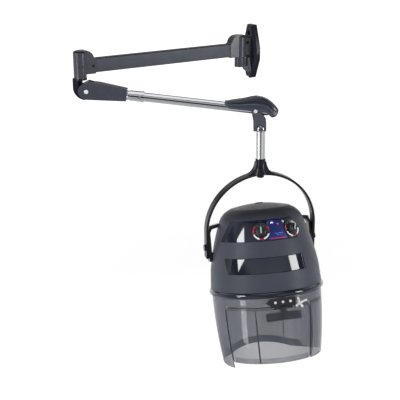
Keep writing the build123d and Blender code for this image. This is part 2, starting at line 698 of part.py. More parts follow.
def neck_cut():
    """Arched opening at the back for the neck."""
    half = 112.0
    top = VISOR_BOTTOM + 18
    arch = make_face(Curve() + [
        Polyline((half, 0, VISOR_BOTTOM - 5), (-half, 0, VISOR_BOTTOM - 5), (-half, 0, VISOR_BOTTOM)),
        ThreePointArc((-half, 0, VISOR_BOTTOM), (0, 0, top), (half, 0, VISOR_BOTTOM)),
        Line((half, 0, VISOR_BOTTOM), (half, 0, VISOR_BOTTOM - 5)),
    ])
    return Pos(0, 260, 0) * extrude(arch, 240, dir=(0, -1, 0))


def fixed_visor():
    """Smoked visor: a full band under the bead and the sides and back below it."""
    body = VISOR_SHELL - sector(FLAP_FROM, FLAP_TO, VISOR_BOTTOM - 10, FLAP_TOP)
    body -= sector(FLAP_TO - 1, SHORT_TO, VISOR_BOTTOM - 10, HEM)
    body -= neck_cut()
    for x in HINGE_BOLT_X:
        body -= HINGE_LOCAL * rod_y(1.6, -5, 40, x=x, z=HINGE_BOLT_RISE)
    return body - HINGE_LOCAL * rod_y(1.6, -5, 40, x=CATCH_X, z=CATCH_RISE)


def front_flap():
    """The lifting front of the visor."""
    pie = sector(FLAP_FROM + FLAP_GAP, FLAP_TO - FLAP_GAP, HEM, FLAP_TOP - 2)
    body = VISOR_SHELL & pie
    for x in PLATE_SCREW_X:
        body -= HINGE_LOCAL * rod_y(1.6, -5, 40, x=x, z=-PLATE_DROP)
    return body


HINGE_ANGLE = -3.0
HINGE_RADIUS = 192.0
HINGE_Z = -192.0
HINGE_LOCAL = Rot(0, 0, HINGE_ANGLE) * Pos(0, -HINGE_RADIUS, HINGE_Z)
HINGE_BOLT_X = (-25.0, 0.0, 25.0)
HINGE_BOLT_RISE = 18.0
PLATE_SCREW_X = (-51.0, 51.0)
PLATE_DROP = 28.0
CATCH_X = 52.0
CATCH_RISE = 10.0
HINGE_PIN = 2.0
BARREL = 4.5


def hinge_bar():
    """Arrow-ended bar bolted to the visor's band, with the two outer hinge barrels."""
    outline = [(-55, 18), (-40, 30.5), (40, 30.5), (43, 26), (43, 6), (-40, 6)]
    body = slab(outline, -1.5, 3.5)
    for x0, x1 in ((-32, -14), (14, 32)):
        body += rod_x(BARREL, x0, x1) + block(x0, x1, -1.5, 3.0, 0, 9)
    body -= rod_x(HINGE_PIN + SKIN / 2, -LONG, LONG)
    for x in HINGE_BOLT_X:
        body -= rod_y(1.6, -5, 40, x=x, z=HINGE_BOLT_RISE)
    return body


def hinge_bar_bolts():
    """Three bolts through the bar and the post that the catch turns on."""
    bolts = []
    for x in HINGE_BOLT_X:
        shank = rod_y(1.5, -2, 13, x=x, z=HINGE_BOLT_RISE)
        bolts.append(shank + rod_y(4.2, -4.5, -1.6, x=x, z=HINGE_BOLT_RISE))
    post = rod_y(1.5, -14.6, 17, x=CATCH_X, z=CATCH_RISE)
    bolts.append(post + rod_y(4.0, -16.5, -14.5, x=CATCH_X, z=CATCH_RISE))
    return Compound(children=bolts)


def hinge_pin():
    return rod_x(HINGE_PIN, -34, 34)


def flap_plate():
    """Plate on the flap with the middle hinge barrel."""
    outline = [(-58, -19), (-54, -15), (54, -15), (58, -19), (58, -37), (54, -41), (-54, -41), (-58, -37)]
    body = slab(outline, -1.5, 1.5)
    body += block(-12, 12, -1.5, 1.5, -16, 0)
    body += rod_x(BARREL, -13.6, 13.6)
    body -= rod_x(HINGE_PIN + RUN, -LONG, LONG)
    for x in PLATE_SCREW_X:
        body -= rod_y(1.6, -5, 40, x=x, z=-PLATE_DROP)
    return body


def flap_plate_screws():
    screws = []
    for x in PLATE_SCREW_X:
        spacer = rod_y(4.0, 1.6, 8, x=x, z=-PLATE_DROP)
        shank = rod_y(1.5, -2, 20, x=x, z=-PLATE_DROP)
        screws.append(shank + spacer + rod_y(3.8, -4, -1.6, x=x, z=-PLATE_DROP))
    return Compound(children=[screw - VISOR_GROWN for screw in screws])


def catch_lever():
    """Chromed Y-shaped catch with a ball grip, which turns on its post."""
    body = rod_y(6.0, -14, -10)
    for x, z, angle, length in ((-2, 9, -12, 20), (12, 4, 70, 26), (-6, -4, 55, 17), (4, -5.5, -36, 12)):
        body += Pos(x, -12, z) * Rot(0, angle, 0) * Box(6.0, 3.6, length)
    body += Pos(8, -12, -11) * Sphere(3.8)
    body -= rod_y(1.5 + RUN, -20, 0)
    return Pos(CATCH_X, 0, CATCH_RISE) * body


# Shared forms, made once
DOME = dome_solid(0)
GLASS_IN = dome_solid(-SKIN)
GLASS_OUT = dome_solid(-SKIN - WINDOW_THICK)
LABEL_BED = dome_solid(-2 * SKIN - WINDOW_THICK)
VISOR_SHELL = visor_cone(0) - visor_cone(VISOR_WALL)
VISOR_GROWN = HINGE_LOCAL.inverse() * visor_cone(-SKIN)
HINGE_FRAME = HOOD_FRAME * HINGE_LOCAL

NODES = {
    "wall_plate": wall_plate(),
    "pivot_bracket": WALL_FRAME * pivot_bracket(),
    "bracket_screws": WALL_FRAME * bracket_screws(),
    "wall_pivot_pin": WALL_FRAME * wall_pivot_pin(),
    "wall_thrust_washer": WALL_FRAME * wall_thrust_washer(),
    "cable_grommet": cable_grommet(),
    "wall_end_casting": WALL_FRAME * end_casting(WALL_CASTING_BOTTOM),
    "elbow_end_casting": ELBOW_IN_ARM1 * end_casting(ELBOW_CASTING_BOTTOM),
    "first_arm_tube": WALL_FRAME * first_arm_tube(),
    "first_arm_screws": first_arm_screws(),
    "arm_bushes": arm_bushes(),
    "elbow_knuckle": ELBOW_FRAME * elbow_knuckle(),
    "elbow_swivel_pin": ELBOW_FRAME * elbow_swivel_pin(),
    "elbow_washer": ELBOW_FRAME * elbow_washer(),
    "lift_hinge_pin": ARM2_FRAME * lift_hinge_pin(),
    "rod_anchor_pin": ELBOW_FRAME * Pos(LIFT_PIN_X, 0, -LIFT_PIN_DROP) * rod_anchor_pin(),
    "arm_housing": ARM2_FRAME * arm_housing(),
    "lock_nut": ARM2_FRAME * lock_nut(),
    "tube_collar": ARM2_FRAME * tube_collar(),
    "collar_screw": ARM2_FRAME * collar_screw(),
    "second_arm_tube": ARM2_FRAME * second_arm_tube(),
    "gas_strut": ARM2_FRAME * gas_strut(),
    "arm_end_cover": ARM2_FRAME * arm_end_cover(),
    "head_hinge_pin": ARM2_FRAME * head_hinge_pin(),
    "head_bracket": HEAD_FRAME * head_bracket(),
    "levelling_rod": ROD_FRAME * levelling_rod(),
    "levelling_pin": HEAD_FRAME * levelling_pin(),
    "stem_bolt": HEAD_FRAME * stem_bolt(),
    "stem_tube": STEM_FRAME * stem_tube(),
    "swivel_pin": STEM_FRAME * swivel_pin(),
    "yoke": YOKE_FRAME * yoke(),
    "yoke_pivot_bolts": YOKE_FRAME * yoke_pivot_bolts(),
    "hood_shell": HOOD_FRAME * hood_shell(),
    "top_cap": HOOD_FRAME * top_cap(),
    "upper_window": HOOD_FRAME * upper_window(),
    "lower_window": HOOD_FRAME * lower_window(),
    "dial_plates": HOOD_FRAME * dial_plates(),
    "control_label": HOOD_FRAME * control_label(),
    "neon_lamps": HOOD_FRAME * neon_lamps(),
    "timer_knob": HOOD_FRAME * knob(TIMER_ANGLE),
    "heat_knob": HOOD_FRAME * knob(HEAT_ANGLE),
    "timer_body": HOOD_FRAME * switch_body(TIMER_ANGLE, 38, 34),
    "heat_switch_body": HOOD_FRAME * switch_body(HEAT_ANGLE, 28, 28),
    "ring_bead": HOOD_FRAME * ring_bead(),
    "left_side_bracket": HOOD_FRAME * side_bracket(-1),
    "right_side_bracket": HOOD_FRAME * side_bracket(1),
    "inner_hood": HOOD_FRAME * inner_hood(),
    "heater_frame": HOOD_FRAME * heater_frame(),
    "heater_coil": HOOD_FRAME * heater_coil(),
    "fan_motor": HOOD_FRAME * fan_motor(),
    "fan_impeller": HOOD_FRAME * fan_impeller(),
    "motor_mount": HOOD_FRAME * motor_mount(),
    "thermostat": HOOD_FRAME * thermostat(),
    "fixed_visor": HOOD_FRAME * fixed_visor(),
    "hinge_bar": HINGE_FRAME * hinge_bar(),
    "hinge_bar_bolts": HINGE_FRAME * hinge_bar_bolts(),
    "flap_hinge_pin": HINGE_FRAME * hinge_pin(),
    "front_flap": HOOD_FRAME * front_flap(),
    "flap_plate": HINGE_FRAME * flap_plate(),
    "catch_lever": HINGE_FRAME * catch_lever(),
}

os.makedirs("parts", exist_ok=True)
for name, shape in NODES.items():
    export_step(shape, f"parts/{name}.step")
    print(name, round(shape.volume, 1))

JOINT_FRAMES = {
    "wall": WALL_FRAME,
    "elbow": ELBOW_FRAME,
    "lift": ARM2_FRAME,
    "rod": ROD_FRAME,
    "head": HEAD_FRAME,
    "stem": STEM_FRAME,
    "yoke": YOKE_FRAME,
    "hood": HOOD_FRAME,
    "flap": HINGE_FRAME,
    "catch": HINGE_FRAME * Pos(CATCH_X, 0, CATCH_RISE),
    "timer": HOOD_FRAME * on_dome(TIMER_ANGLE, KNOB_Z, 0),
    "heat": HOOD_FRAME * on_dome(HEAT_ANGLE, KNOB_Z, 0),
}
for name, frame in JOINT_FRAMES.items():
    axes = Plane(Location(frame))
    print(name, tuple(axes.origin), tuple(axes.x_dir), tuple(axes.y_dir), tuple(axes.z_dir))
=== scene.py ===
import json
import math

import bmesh
import bpy
from mathutils import Matrix, Vector


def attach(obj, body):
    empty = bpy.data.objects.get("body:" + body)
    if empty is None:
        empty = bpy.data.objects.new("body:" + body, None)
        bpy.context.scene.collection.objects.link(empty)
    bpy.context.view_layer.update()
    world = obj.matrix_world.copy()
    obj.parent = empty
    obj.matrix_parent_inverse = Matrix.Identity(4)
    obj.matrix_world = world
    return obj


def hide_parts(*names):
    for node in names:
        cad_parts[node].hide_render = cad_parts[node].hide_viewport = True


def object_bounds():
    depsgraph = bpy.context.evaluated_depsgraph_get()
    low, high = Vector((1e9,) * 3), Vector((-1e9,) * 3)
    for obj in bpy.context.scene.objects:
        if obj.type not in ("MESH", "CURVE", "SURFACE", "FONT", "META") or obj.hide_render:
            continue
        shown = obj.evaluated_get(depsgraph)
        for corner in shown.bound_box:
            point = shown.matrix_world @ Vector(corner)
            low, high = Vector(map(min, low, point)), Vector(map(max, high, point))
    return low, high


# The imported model, in metres. The wall is Y = 0, the room is towards -Y, +Z is up.
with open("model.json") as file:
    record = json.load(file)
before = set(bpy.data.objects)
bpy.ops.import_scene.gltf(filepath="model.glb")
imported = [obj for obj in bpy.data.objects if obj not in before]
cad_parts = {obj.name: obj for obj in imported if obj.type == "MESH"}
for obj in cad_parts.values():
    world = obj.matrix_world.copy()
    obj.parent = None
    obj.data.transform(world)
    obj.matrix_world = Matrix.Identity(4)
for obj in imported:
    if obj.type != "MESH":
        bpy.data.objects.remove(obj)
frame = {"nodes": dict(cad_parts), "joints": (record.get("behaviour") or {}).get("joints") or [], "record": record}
CAD_BOX = [list(corner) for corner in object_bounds()]
NODES = frame["nodes"]
JOINTS = {joint["name"]: joint for joint in frame["joints"]}
SLOT_OF = {entry["node"]: entry["material_slot"] for entry in frame["record"]["subparts"]}
BODIES = frame["record"]["behaviour"]["bodies"]
BODY_OF = {node: body for body, nodes in BODIES.items() for node in nodes}
MM = 0.001


# Frames ----------------------------------------------------------------------
def frame_matrix(origin, x_axis, z_axis):
    x = Vector(x_axis).normalized()
    z = Vector(z_axis).normalized()
    y = z.cross(x)
    matrix = Matrix((x, y, z)).transposed().to_4x4()
    matrix.translation = Vector(origin)
    return matrix


def joint_axis(name):
    return Vector(JOINTS[name]["axis"]).normalized()


def joint_origin(name):
    return Vector(JOINTS[name]["pos_m"])


HOOD = frame_matrix(joint_origin("fan_spin"), joint_axis("hood_tilt"), joint_axis("fan_spin"))
YOKE = frame_matrix(joint_origin("hood_tilt"), joint_axis("hood_tilt"), joint_axis("hood_swivel"))
ARM2_X = (joint_origin("head_level") - joint_origin("arm_lift")).normalized()
ARM2_Z = Vector((0, 0, 1)) - ARM2_X * ARM2_X.z
ARM2 = frame_matrix(joint_origin("arm_lift"), ARM2_X, ARM2_Z)

# Materials -------------------------------------------------------------------
NOISE_SPAN = (0.3, 0.7)  # the part of a noise value's range that is spread out
UPWARD = (0.15, 0.6)  # how far up a face looks where its painted top shade starts, and where it is full
CROWN_SHADE = 0.34  # how dark the painted shade on the hood's crown is against the rest
COAT_ROUGH = 0.05
GRAIN_DEPTH = 0.0006


def shader(name):
    mat = bpy.data.materials.new(name)
    mat.use_nodes = True
    tree = mat.node_tree
    tree.nodes.clear()
    out = tree.nodes.new("ShaderNodeOutputMaterial")
    bsdf = tree.nodes.new("ShaderNodeBsdfPrincipled")
    tree.links.new(bsdf.outputs["BSDF"], out.inputs["Surface"])
    return mat, tree, bsdf


def noise(tree, scale, detail=3.0, stretch=(1, 1, 1)):
    coord = tree.nodes.new("ShaderNodeTexCoord")
    mapping = tree.nodes.new("ShaderNodeMapping")
    mapping.inputs["Scale"].default_value = stretch
    tex = tree.nodes.new("ShaderNodeTexNoise")
    tex.inputs["Scale"].default_value = scale
    tex.inputs["Detail"].default_value = detail
    tree.links.new(coord.outputs["Object"], mapping.inputs["Vector"])
    tree.links.new(mapping.outputs["Vector"], tex.inputs["Vector"])
    return tex.outputs["Fac"]


def ranged(tree, source, start, end, low=0.0, high=1.0):
    """A value that runs from low to high as the source runs from start to end."""
    ramp = tree.nodes.new("ShaderNodeMapRange")
    ramp.inputs["From Min"].default_value = start
    ramp.inputs["From Max"].default_value = end
    ramp.inputs["To Min"].default_value = low
    ramp.inputs["To Max"].default_value = high
    tree.links.new(source, ramp.inputs["Value"])
    return ramp.outputs["Result"]


def spread_noise(tree, source, low, high):
    return ranged(tree, source, *NOISE_SPAN, low, high)


def along(tree, kind, direction):
    """How far a texture coordinate of this kind lies along a direction."""
    coord = tree.nodes.new("ShaderNodeTexCoord")
    product = tree.nodes.new("ShaderNodeVectorMath")
    product.operation = "DOT_PRODUCT"
    product.inputs[1].default_value = direction
    tree.links.new(coord.outputs[kind], product.inputs[0])
    return product.outputs["Value"]


def blend_colour(tree, factor, first, second):
    """A mix of two colours; the first may be another node's output."""
    mix = tree.nodes.new("ShaderNodeMix")
    mix.data_type = "RGBA"
    if isinstance(first, bpy.types.NodeSocket):
        tree.links.new(first, mix.inputs["A"])
    else:
        mix.inputs["A"].default_value = (*first, 1)
    mix.inputs["B"].default_value = (*second, 1)
    tree.links.new(factor, mix.inputs["Factor"])
    return mix.outputs["Result"]


def scaled(colour, factor):
    return tuple(min(1.0, c * factor) for c in colour)


def painted_top_shade(tree, tint, colour):
    """Painted shade: another, darker tint on the faces that look up."""
    top_shade_mask = ranged(tree, along(tree, "Normal", (0, 0, 1)), *UPWARD)
    return blend_colour(tree, top_shade_mask, tint, colour)


def painted_crown_shade(tree, tint, dark, low, high):
    """Painted shade: darkens a tint between two heights, in metres, along the hood's axis."""
    axis = joint_axis("fan_spin")
    origin = axis.dot(joint_origin("fan_spin"))
    height = ranged(tree, along(tree, "Object", axis), origin + low, origin + high)
    return blend_colour(tree, height, tint, dark)


def finish_material(name, colour, rough, metal=0.0, tone=0.15, rough_spread=0.06, grain=900.0,
                    bump=0.04, stretch=(1, 1, 1), coat=0.0, specular=0.5, crown_shade_heights=None, top=None):
    """A moulded, painted or polished surface: uneven tone, uneven gloss and a fine grain, with optional painted
    shade on upward faces (top) and towards the hood's crown.
    """
    mat, tree, bsdf = shader(name)
    bsdf.inputs["Metallic"].default_value = metal
    bsdf.inputs["Coat Weight"].default_value = coat
    bsdf.inputs["Coat Roughness"].default_value = COAT_ROUGH
    bsdf.inputs["Specular IOR Level"].default_value = specular
    cloud = spread_noise(tree, noise(tree, 9.0, 5.0), 0.0, 1.0)
    tint = blend_colour(tree, cloud, scaled(colour, 1 - tone), scaled(colour, 1 + tone))
    # painted shade: a darker tint on the faces that look up
    if top:
        tint = painted_top_shade(tree, tint, top)
    # painted shade: darker towards the hood's crown
    if crown_shade_heights:
        tint = painted_crown_shade(tree, tint, scaled(colour, CROWN_SHADE), *crown_shade_heights)
    tree.links.new(tint, bsdf.inputs["Base Color"])
    smooth, dull = max(0.02, rough - rough_spread), rough + rough_spread
    smear = spread_noise(tree, noise(tree, 45.0, 4.0, stretch), smooth, dull)
    tree.links.new(smear, bsdf.inputs["Roughness"])
    relief = tree.nodes.new("ShaderNodeBump")
    relief.inputs["Strength"].default_value = bump
    relief.inputs["Distance"].default_value = GRAIN_DEPTH
    tree.links.new(noise(tree, grain, 2.0, stretch), relief.inputs["Height"])
    tree.links.new(relief.outputs["Normal"], bsdf.inputs["Normal"])
    return mat


def smoked(name, colour, alpha, slant):
    """Tinted clear plastic: denser where it is seen at a slant, with faint smears."""
    mat, tree, bsdf = shader(name)
    cloud = spread_noise(tree, noise(tree, 7.0, 3.0), 0.0, 1.0)
    tint = blend_colour(tree, cloud, scaled(colour, 0.9), scaled(colour, 1.1))
    tree.links.new(tint, bsdf.inputs["Base Color"])
    bsdf.inputs["Specular IOR Level"].default_value = 0.5
    smear = spread_noise(tree, noise(tree, 30.0, 4.0), 0.04, 0.12)
    tree.links.new(smear, bsdf.inputs["Roughness"])
    facing = tree.nodes.new("ShaderNodeLayerWeight")
    facing.inputs["Blend"].default_value = 0.35
    density = ranged(tree, facing.outputs["Facing"], 0.0, 1.0, alpha, min(1.0, alpha + slant))
    tree.links.new(density, bsdf.inputs["Alpha"])
    return mat


# Castings, metals and rubber
BLACK_CASTING = finish_material("black_casting", (0.009, 0.010, 0.017), 0.26, tone=0.2, coat=0.12,
                                specular=0.15)
# ARM_GREY and CASTING_GREY take a darker top colour: painted shade on the faces that look up
ARM_GREY = finish_material("arm_grey", (0.054, 0.060, 0.078), 0.40, tone=0.1, specular=0.2,
                           top=(0.008, 0.009, 0.014))
CASTING_GREY = finish_material("casting_grey", (0.038, 0.041, 0.056), 0.28, tone=0.12, coat=0.15,
                               specular=0.25, top=(0.006, 0.007, 0.011))
CHROME = finish_material("chrome", (0.80, 0.81, 0.85), 0.12, metal=1.0, tone=0.05, rough_spread=0.05,
                         grain=2200, bump=0.02, stretch=(1, 1, 8))
STEEL = finish_material("steel", (0.52, 0.53, 0.55), 0.3, metal=1.0, tone=0.1, stretch=(8, 1, 1))
BRONZE = finish_material("bronze", (0.55, 0.38, 0.18), 0.45, metal=1.0, tone=0.2)
BRIGHT_METAL = finish_material("bright_metal", (0.78, 0.79, 0.83), 0.28, metal=0.4, tone=0.06, coat=0.5)
MOTOR_STEEL = finish_material("motor_steel", (0.22, 0.23, 0.25), 0.4, metal=0.8)
RUBBER = finish_material("rubber", (0.02, 0.02, 0.02), 0.75)

# Moulded plastics
COVER_BLACK = finish_material("cover_black", (0.014, 0.016, 0.026), 0.26, coat=0.5)
# A lighter copy of the cover's black for its flanks: painted sheen
COVER_LIT_SIDE = finish_material("cover_lit_side", (0.034, 0.039, 0.060), 0.3, tone=0.1, coat=0.4)
# A pale copy of the cover's black: painted highlights along its creases
COVER_HIGHLIGHT = finish_material("cover_highlight", (0.10, 0.11, 0.14), 0.25, tone=0.1, coat=0.6)
# SHELL_GREY darkens towards the hood's crown between the two heights given: painted shade
SHELL_GREY = finish_material("shell_grey", (0.053, 0.058, 0.077), 0.44, tone=0.08, grain=1500, bump=0.12,
                             specular=0.2, crown_shade_heights=(0.070, 0.112))
CROWN_GREY = finish_material("crown_grey", (0.032, 0.035, 0.046), 0.38, tone=0.08, grain=1500, bump=0.08)
SLOPE_BLACK = finish_material("slope_black", (0.012, 0.014, 0.022), 0.45, tone=0.1, specular=0.2)
GLOSS_BLACK = finish_material("gloss_black", (0.005, 0.009, 0.022), 0.05, rough_spread=0.02, coat=0.6,
                              bump=0.0)
KNOB_BLACK = finish_material("knob_black", (0.012, 0.012, 0.014), 0.32, coat=0.2)
TRIM_BLACK = finish_material("trim_black", (0.008, 0.009, 0.013), 0.22, coat=0.5)
INNER_GREY = finish_material("inner_grey", (0.24, 0.24, 0.25), 0.55)
MICA = finish_material("mica", (0.55, 0.50, 0.40), 0.5, tone=0.25)
LAMP_WHITE = finish_material("lamp_white", (0.75, 0.82, 0.95), 0.2, coat=0.6)

# Printed faces
DIAL_PRINT = finish_material("dial_print", (0.012, 0.013, 0.018), 0.25, coat=0.4)
LABEL_BLUE = finish_material("label_blue", (0.008, 0.018, 0.15), 0.3, tone=0.6, coat=0.3)
PRINT_RED = finish_material("print_red", (0.46, 0.016, 0.035), 0.35, tone=0.12, coat=0.3)
PRINT_WHITE = finish_material("print_white", (0.80, 0.80, 0.82), 0.35, tone=0.04, coat=0.3)
PRINT_GREY = finish_material("print_grey", (0.40, 0.41, 0.43), 0.4, tone=0.08)
PRINT_BLUE = finish_material("print_blue", (0.10, 0.16, 0.62), 0.35, tone=0.2, coat=0.3)

# The visor
SMOKED_CLEAR = smoked("smoked_clear", (0.088, 0.094, 0.126), 0.42, 0.38)
SMOKED_LIGHT = smoked("smoked_light", (0.10, 0.102, 0.115), 0.16, 0.3)
SMOKED_DARK = smoked("smoked_dark", (0.020, 0.021, 0.032), 0.62, 0.3)
VISOR_LINE_MAT = smoked("visor_line", (0.020, 0.021, 0.030), 0.5, 0.4)
VISOR_EDGE = finish_material("visor_edge", (0.016, 0.017, 0.024), 0.2, tone=0.15, coat=0.6)

BY_SLOT = {
    "black_casting": BLACK_CASTING, "arm_grey": ARM_GREY, "chrome": CHROME, "steel": STEEL,
    "bronze": BRONZE, "rubber": RUBBER, "cover_black": COVER_BLACK, "shell_grey": SHELL_GREY,
    "gloss_black": GLOSS_BLACK, "dial_print": DIAL_PRINT, "label_blue": LABEL_BLUE,
    "lamp_white": LAMP_WHITE, "knob_black": KNOB_BLACK, "smoked_clear": SMOKED_CLEAR,
    "trim_black": TRIM_BLACK, "inner_grey": INNER_GREY, "mica": MICA, "motor_steel": MOTOR_STEEL,
}
BLACKENED = ("first_arm_screws", "swivel_pin", "bracket_screws")


def dress(obj, mat):
    obj.data.materials.clear()
    obj.data.materials.append(mat)


for node, obj in NODES.items():
    dress(obj, BLACK_CASTING if node in BLACKENED else BY_SLOT[SLOT_OF[node]])

# Mesh tools ------------------------------------------------------------------
WELD = 0.00001  # metres; points closer than this become one
CAD_WELD = 0.00002
FLAT = 0.6  # degrees; CAD facets that meet flatter than this become one face
CAD_SHARP = 30
SHARP = 38  # degrees; an edge that turns more than this stays sharp
BLUNT = 60  # the same, for pieces with tight curves of their own
CRISP = 14  # the same, for glass


def polar(angle, radius, z):
    """A point in the hood's own frame, in mm; angles run from its front towards its right."""
    return Vector((radius * math.sin(math.radians(angle)), -radius * math.cos(math.radians(angle)), z))


def arc3(first, middle, last, steps):
    """Points on the circle through three (r, z) points, without the last one."""
    (ax, ay), (bx, by), (cx, cy) = first, middle, last
    d = 2 * (ax * (by - cy) + bx * (cy - ay) + cx * (ay - by))
    a2, b2, c2 = ax * ax + ay * ay, bx * bx + by * by, cx * cx + cy * cy
    ux = (a2 * (by - cy) + b2 * (cy - ay) + c2 * (ay - by)) / d
    uy = (a2 * (cx - bx) + b2 * (ax - cx) + c2 * (bx - ax)) / d
    start = math.atan2(ay - uy, ax - ux)
    turn = math.remainder(math.atan2(cy - uy, cx - ux) - start, math.tau)
    radius = math.hypot(ax - ux, ay - uy)
    angles = [start + turn * i / steps for i in range(steps)]
    return [(ux + radius * math.cos(a), uy + radius * math.sin(a)) for a in angles]


def between(z, table):
    """The value at z in a table of (z, value), held at its ends."""
    for (z0, v0), (z1, v1) in zip(table, table[1:]):
        if z <= z1:
            break
    t = max(0.0, min(1.0, (z - z0) / (z1 - z0)))
    return v0 + (v1 - v0) * t


def smooth_step(t):
    t = max(0.0, min(1.0, t))
    return t * t * (3 - 2 * t)


def on_outline(line, z):
    """(radius, outward r, outward z) of an outline of (r, z) points at a height."""
    pairs = list(zip(line, line[1:]))
    for (r0, z0), (r1, z1) in pairs:
        if min(z0, z1) <= z <= max(z0, z1):
            break
    t = (z - z0) / (z1 - z0) if z1 != z0 else 0.0
    size = math.hypot(r1 - r0, z1 - z0)
    side = 1 if z1 > z0 else -1
    return r0 + (r1 - r0) * t, side * (z1 - z0) / size, -side * (r1 - r0) / size


def outline_point(line, angle, z, lift=0.0):
    """A point of the surface that an outline sweeps round the hood, lifted off it."""
    radius, out_r, out_z = on_outline(line, z)
    return polar(angle, radius + out_r * lift, z + out_z * lift)


def build(name, points, faces, mats, matrix, sharp=SHARP):
    """A mesh object from points in mm in a local frame."""
    mesh = bpy.data.meshes.new(name)
    mesh.from_pydata([matrix @ (Vector(p) * MM) for p in points], [], faces)
    for mat in mats:
        mesh.materials.append(mat)
    bm = bmesh.new()
    bm.from_mesh(mesh)
    bmesh.ops.remove_doubles(bm, verts=bm.verts, dist=WELD)
    bmesh.ops.delete(bm, geom=[v for v in bm.verts if not v.link_faces], context="VERTS")
    bmesh.ops.recalc_face_normals(bm, faces=bm.faces)
    bm.to_mesh(mesh)
    bm.free()
    mesh.shade_smooth()
    mesh.set_sharp_from_angle(angle=math.radians(sharp))
    obj = bpy.data.objects.new(name, mesh)
    bpy.context.scene.collection.objects.link(obj)
    return obj


def belongs(obj, body, slot, *nodes):
    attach(obj, body)
    if nodes:
        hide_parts(*nodes)
    return obj


def grid_faces(rows, cols, closed=False, keep=None):
    faces = []
    for i in range(rows - 1):
        for j in range(cols if closed else cols - 1):
            if keep is None or keep(i, j):
                k = (j + 1) % cols
                faces.append((i * cols + j, i * cols + k, (i + 1) * cols + k, (i + 1) * cols + j))
    return faces


def prism_faces(count):
    """The walls and both ends between two rings of this many points."""
    walls = [(i, (i + 1) % count, count + (i + 1) % count, count + i) for i in range(count)]
    return walls + [tuple(range(count - 1, -1, -1)), tuple(range(count, 2 * count))]


def grid_piece(name, grid, mats, matrix, closed=False, keep=None, sharp=SHARP):
    points = [p for row in grid for p in row]
    return build(name, points, grid_faces(len(grid), len(grid[0]), closed, keep), mats, matrix, sharp)


def thicken(obj, thickness, rim=0, even=True):
    """Gives a sheet its wall, inwards; the cut edges take the material at that index."""
    mod = obj.modifiers.new("wall", "SOLIDIFY")
    mod.thickness = thickness * MM
    mod.offset = -1
    mod.use_even_offset = even
    mod.material_offset_rim = rim
    return obj


def round_edges(obj, width, segments=3, angle=34):
    mod = obj.modifiers.new("edges", "BEVEL")
    mod.width = width * MM
    mod.segments = segments
    mod.limit_method = "ANGLE"
    mod.angle_limit = math.radians(angle)
    mod.harden_normals = True
    return obj


def lathe(name, profile, mats, matrix, steps=64, wave=None):
    """A closed (r, y) profile turned about the local Y axis; wave(angle, r, y) may flute it."""
    points = []
    for r, y in profile:
        for j in range(steps):
            a = math.tau * j / steps
            radius = r + (wave(a, r, y) if wave else 0.0)
            points.append((radius * math.sin(a), y, radius * math.cos(a)))
    return build(name, points, grid_faces(len(profile), steps, closed=True), mats, matrix)


def sweep(name, path, radius, mats, matrix, sides=10):
    """A round bead along points in mm, with flat ends."""
    points = []
    count = len(path)
    for i, p in enumerate(path):
        before = path[i - 1] if i else p
        after = path[i + 1] if i < count - 1 else p
        ahead = (after - before).normalized()
        side = ahead.cross(Vector((0.13, 0.21, 0.97))).normalized()
        up = side.cross(ahead)
        for j in range(sides):
            a = math.tau * j / sides
            points.append(p + side * (radius * math.cos(a)) + up * (radius * math.sin(a)))
    faces = grid_faces(count, sides, closed=True)
    faces += [tuple(range(sides)), tuple((count - 1) * sides + j for j in reversed(range(sides)))]
    return build(name, points, faces, mats, matrix, sharp=BLUNT)


def softened(node, width, mat=None):
    """A copy of a CAD node with rounded edges, which stands for it."""
    mesh = NODES[node].data.copy()
    mesh.name = node + "_soft"
    bm = bmesh.new()
    bm.from_mesh(mesh)
    bmesh.ops.remove_doubles(bm, verts=bm.verts, dist=CAD_WELD)
    bmesh.ops.dissolve_limit(bm, angle_limit=math.radians(FLAT), verts=bm.verts, edges=bm.edges)
    bm.to_mesh(mesh)
    bm.free()
    if "custom_normal" in mesh.attributes:
        mesh.attributes.remove(mesh.attributes["custom_normal"])
    mesh.shade_smooth()
    mesh.set_sharp_from_angle(angle=math.radians(CAD_SHARP))
    obj = bpy.data.objects.new(node + "_soft", mesh)
    bpy.context.scene.collection.objects.link(obj)
    if mat:
        dress(obj, mat)
    round_edges(obj, width)
    return belongs(obj, BODY_OF[node], SLOT_OF[node], node)

# The hood's shell and windows: angles in degrees, heights and radii in mm ----
DOME_LINE = [(187 - 4.5 * i / 10, -141.4 + 61.4 * i / 10) for i in range(10)]
DOME_LINE += arc3((182.5, -80), (164, 6), (141, 78), 26)
DOME_LINE += arc3((141, 78), (127, 101), (98, 119), 14)
DOME_LINE += arc3((98, 119), (50, 129), (0.5, 132), 22) + [(0.5, 132)]
CROWN_LINE = [(105, 115.4), (104, 117.6), (101, 119.4), (96, 120.7), (70, 126.2), (40, 130.9),
              (17, 132.6), (15.2, 131.2)]
CROWN_STEPS = 96
UPPER = (20.0, 87.0)
LOWER = (-82.0, -31.0)
RECESS = 3.2
LIP = 1.7
ROW_GAP = 1.2  # rows of the dome nearer than this to a window's rows are left out
SLACK = 0.01
# Where the windows' slanted left ends start, and where the slope down from them meets the glass
LEFT_END = [(-82, -58.5), (-31, -65), (20, -76), (87, -64)]
LEFT_FLOOR = [(-82, -56.5), (-31, -54), (20, -69), (87, -57)]
RIGHT_END = 29.0
RIGHT_LIP = 0.8
SLOPE_COLUMNS = 4
GLASS_COLUMNS = 44
REST_COLUMNS = 110
LAST_GLASS = SLOPE_COLUMNS + GLASS_COLUMNS


def window_rows():
    heights = [z for _, z in DOME_LINE]
    for low, high in (UPPER, LOWER):
        own = [low, low + LIP, high - LIP, high]
        heights = [z for z in heights if min(abs(z - e) for e in own) > ROW_GAP] + own
    return sorted(heights)


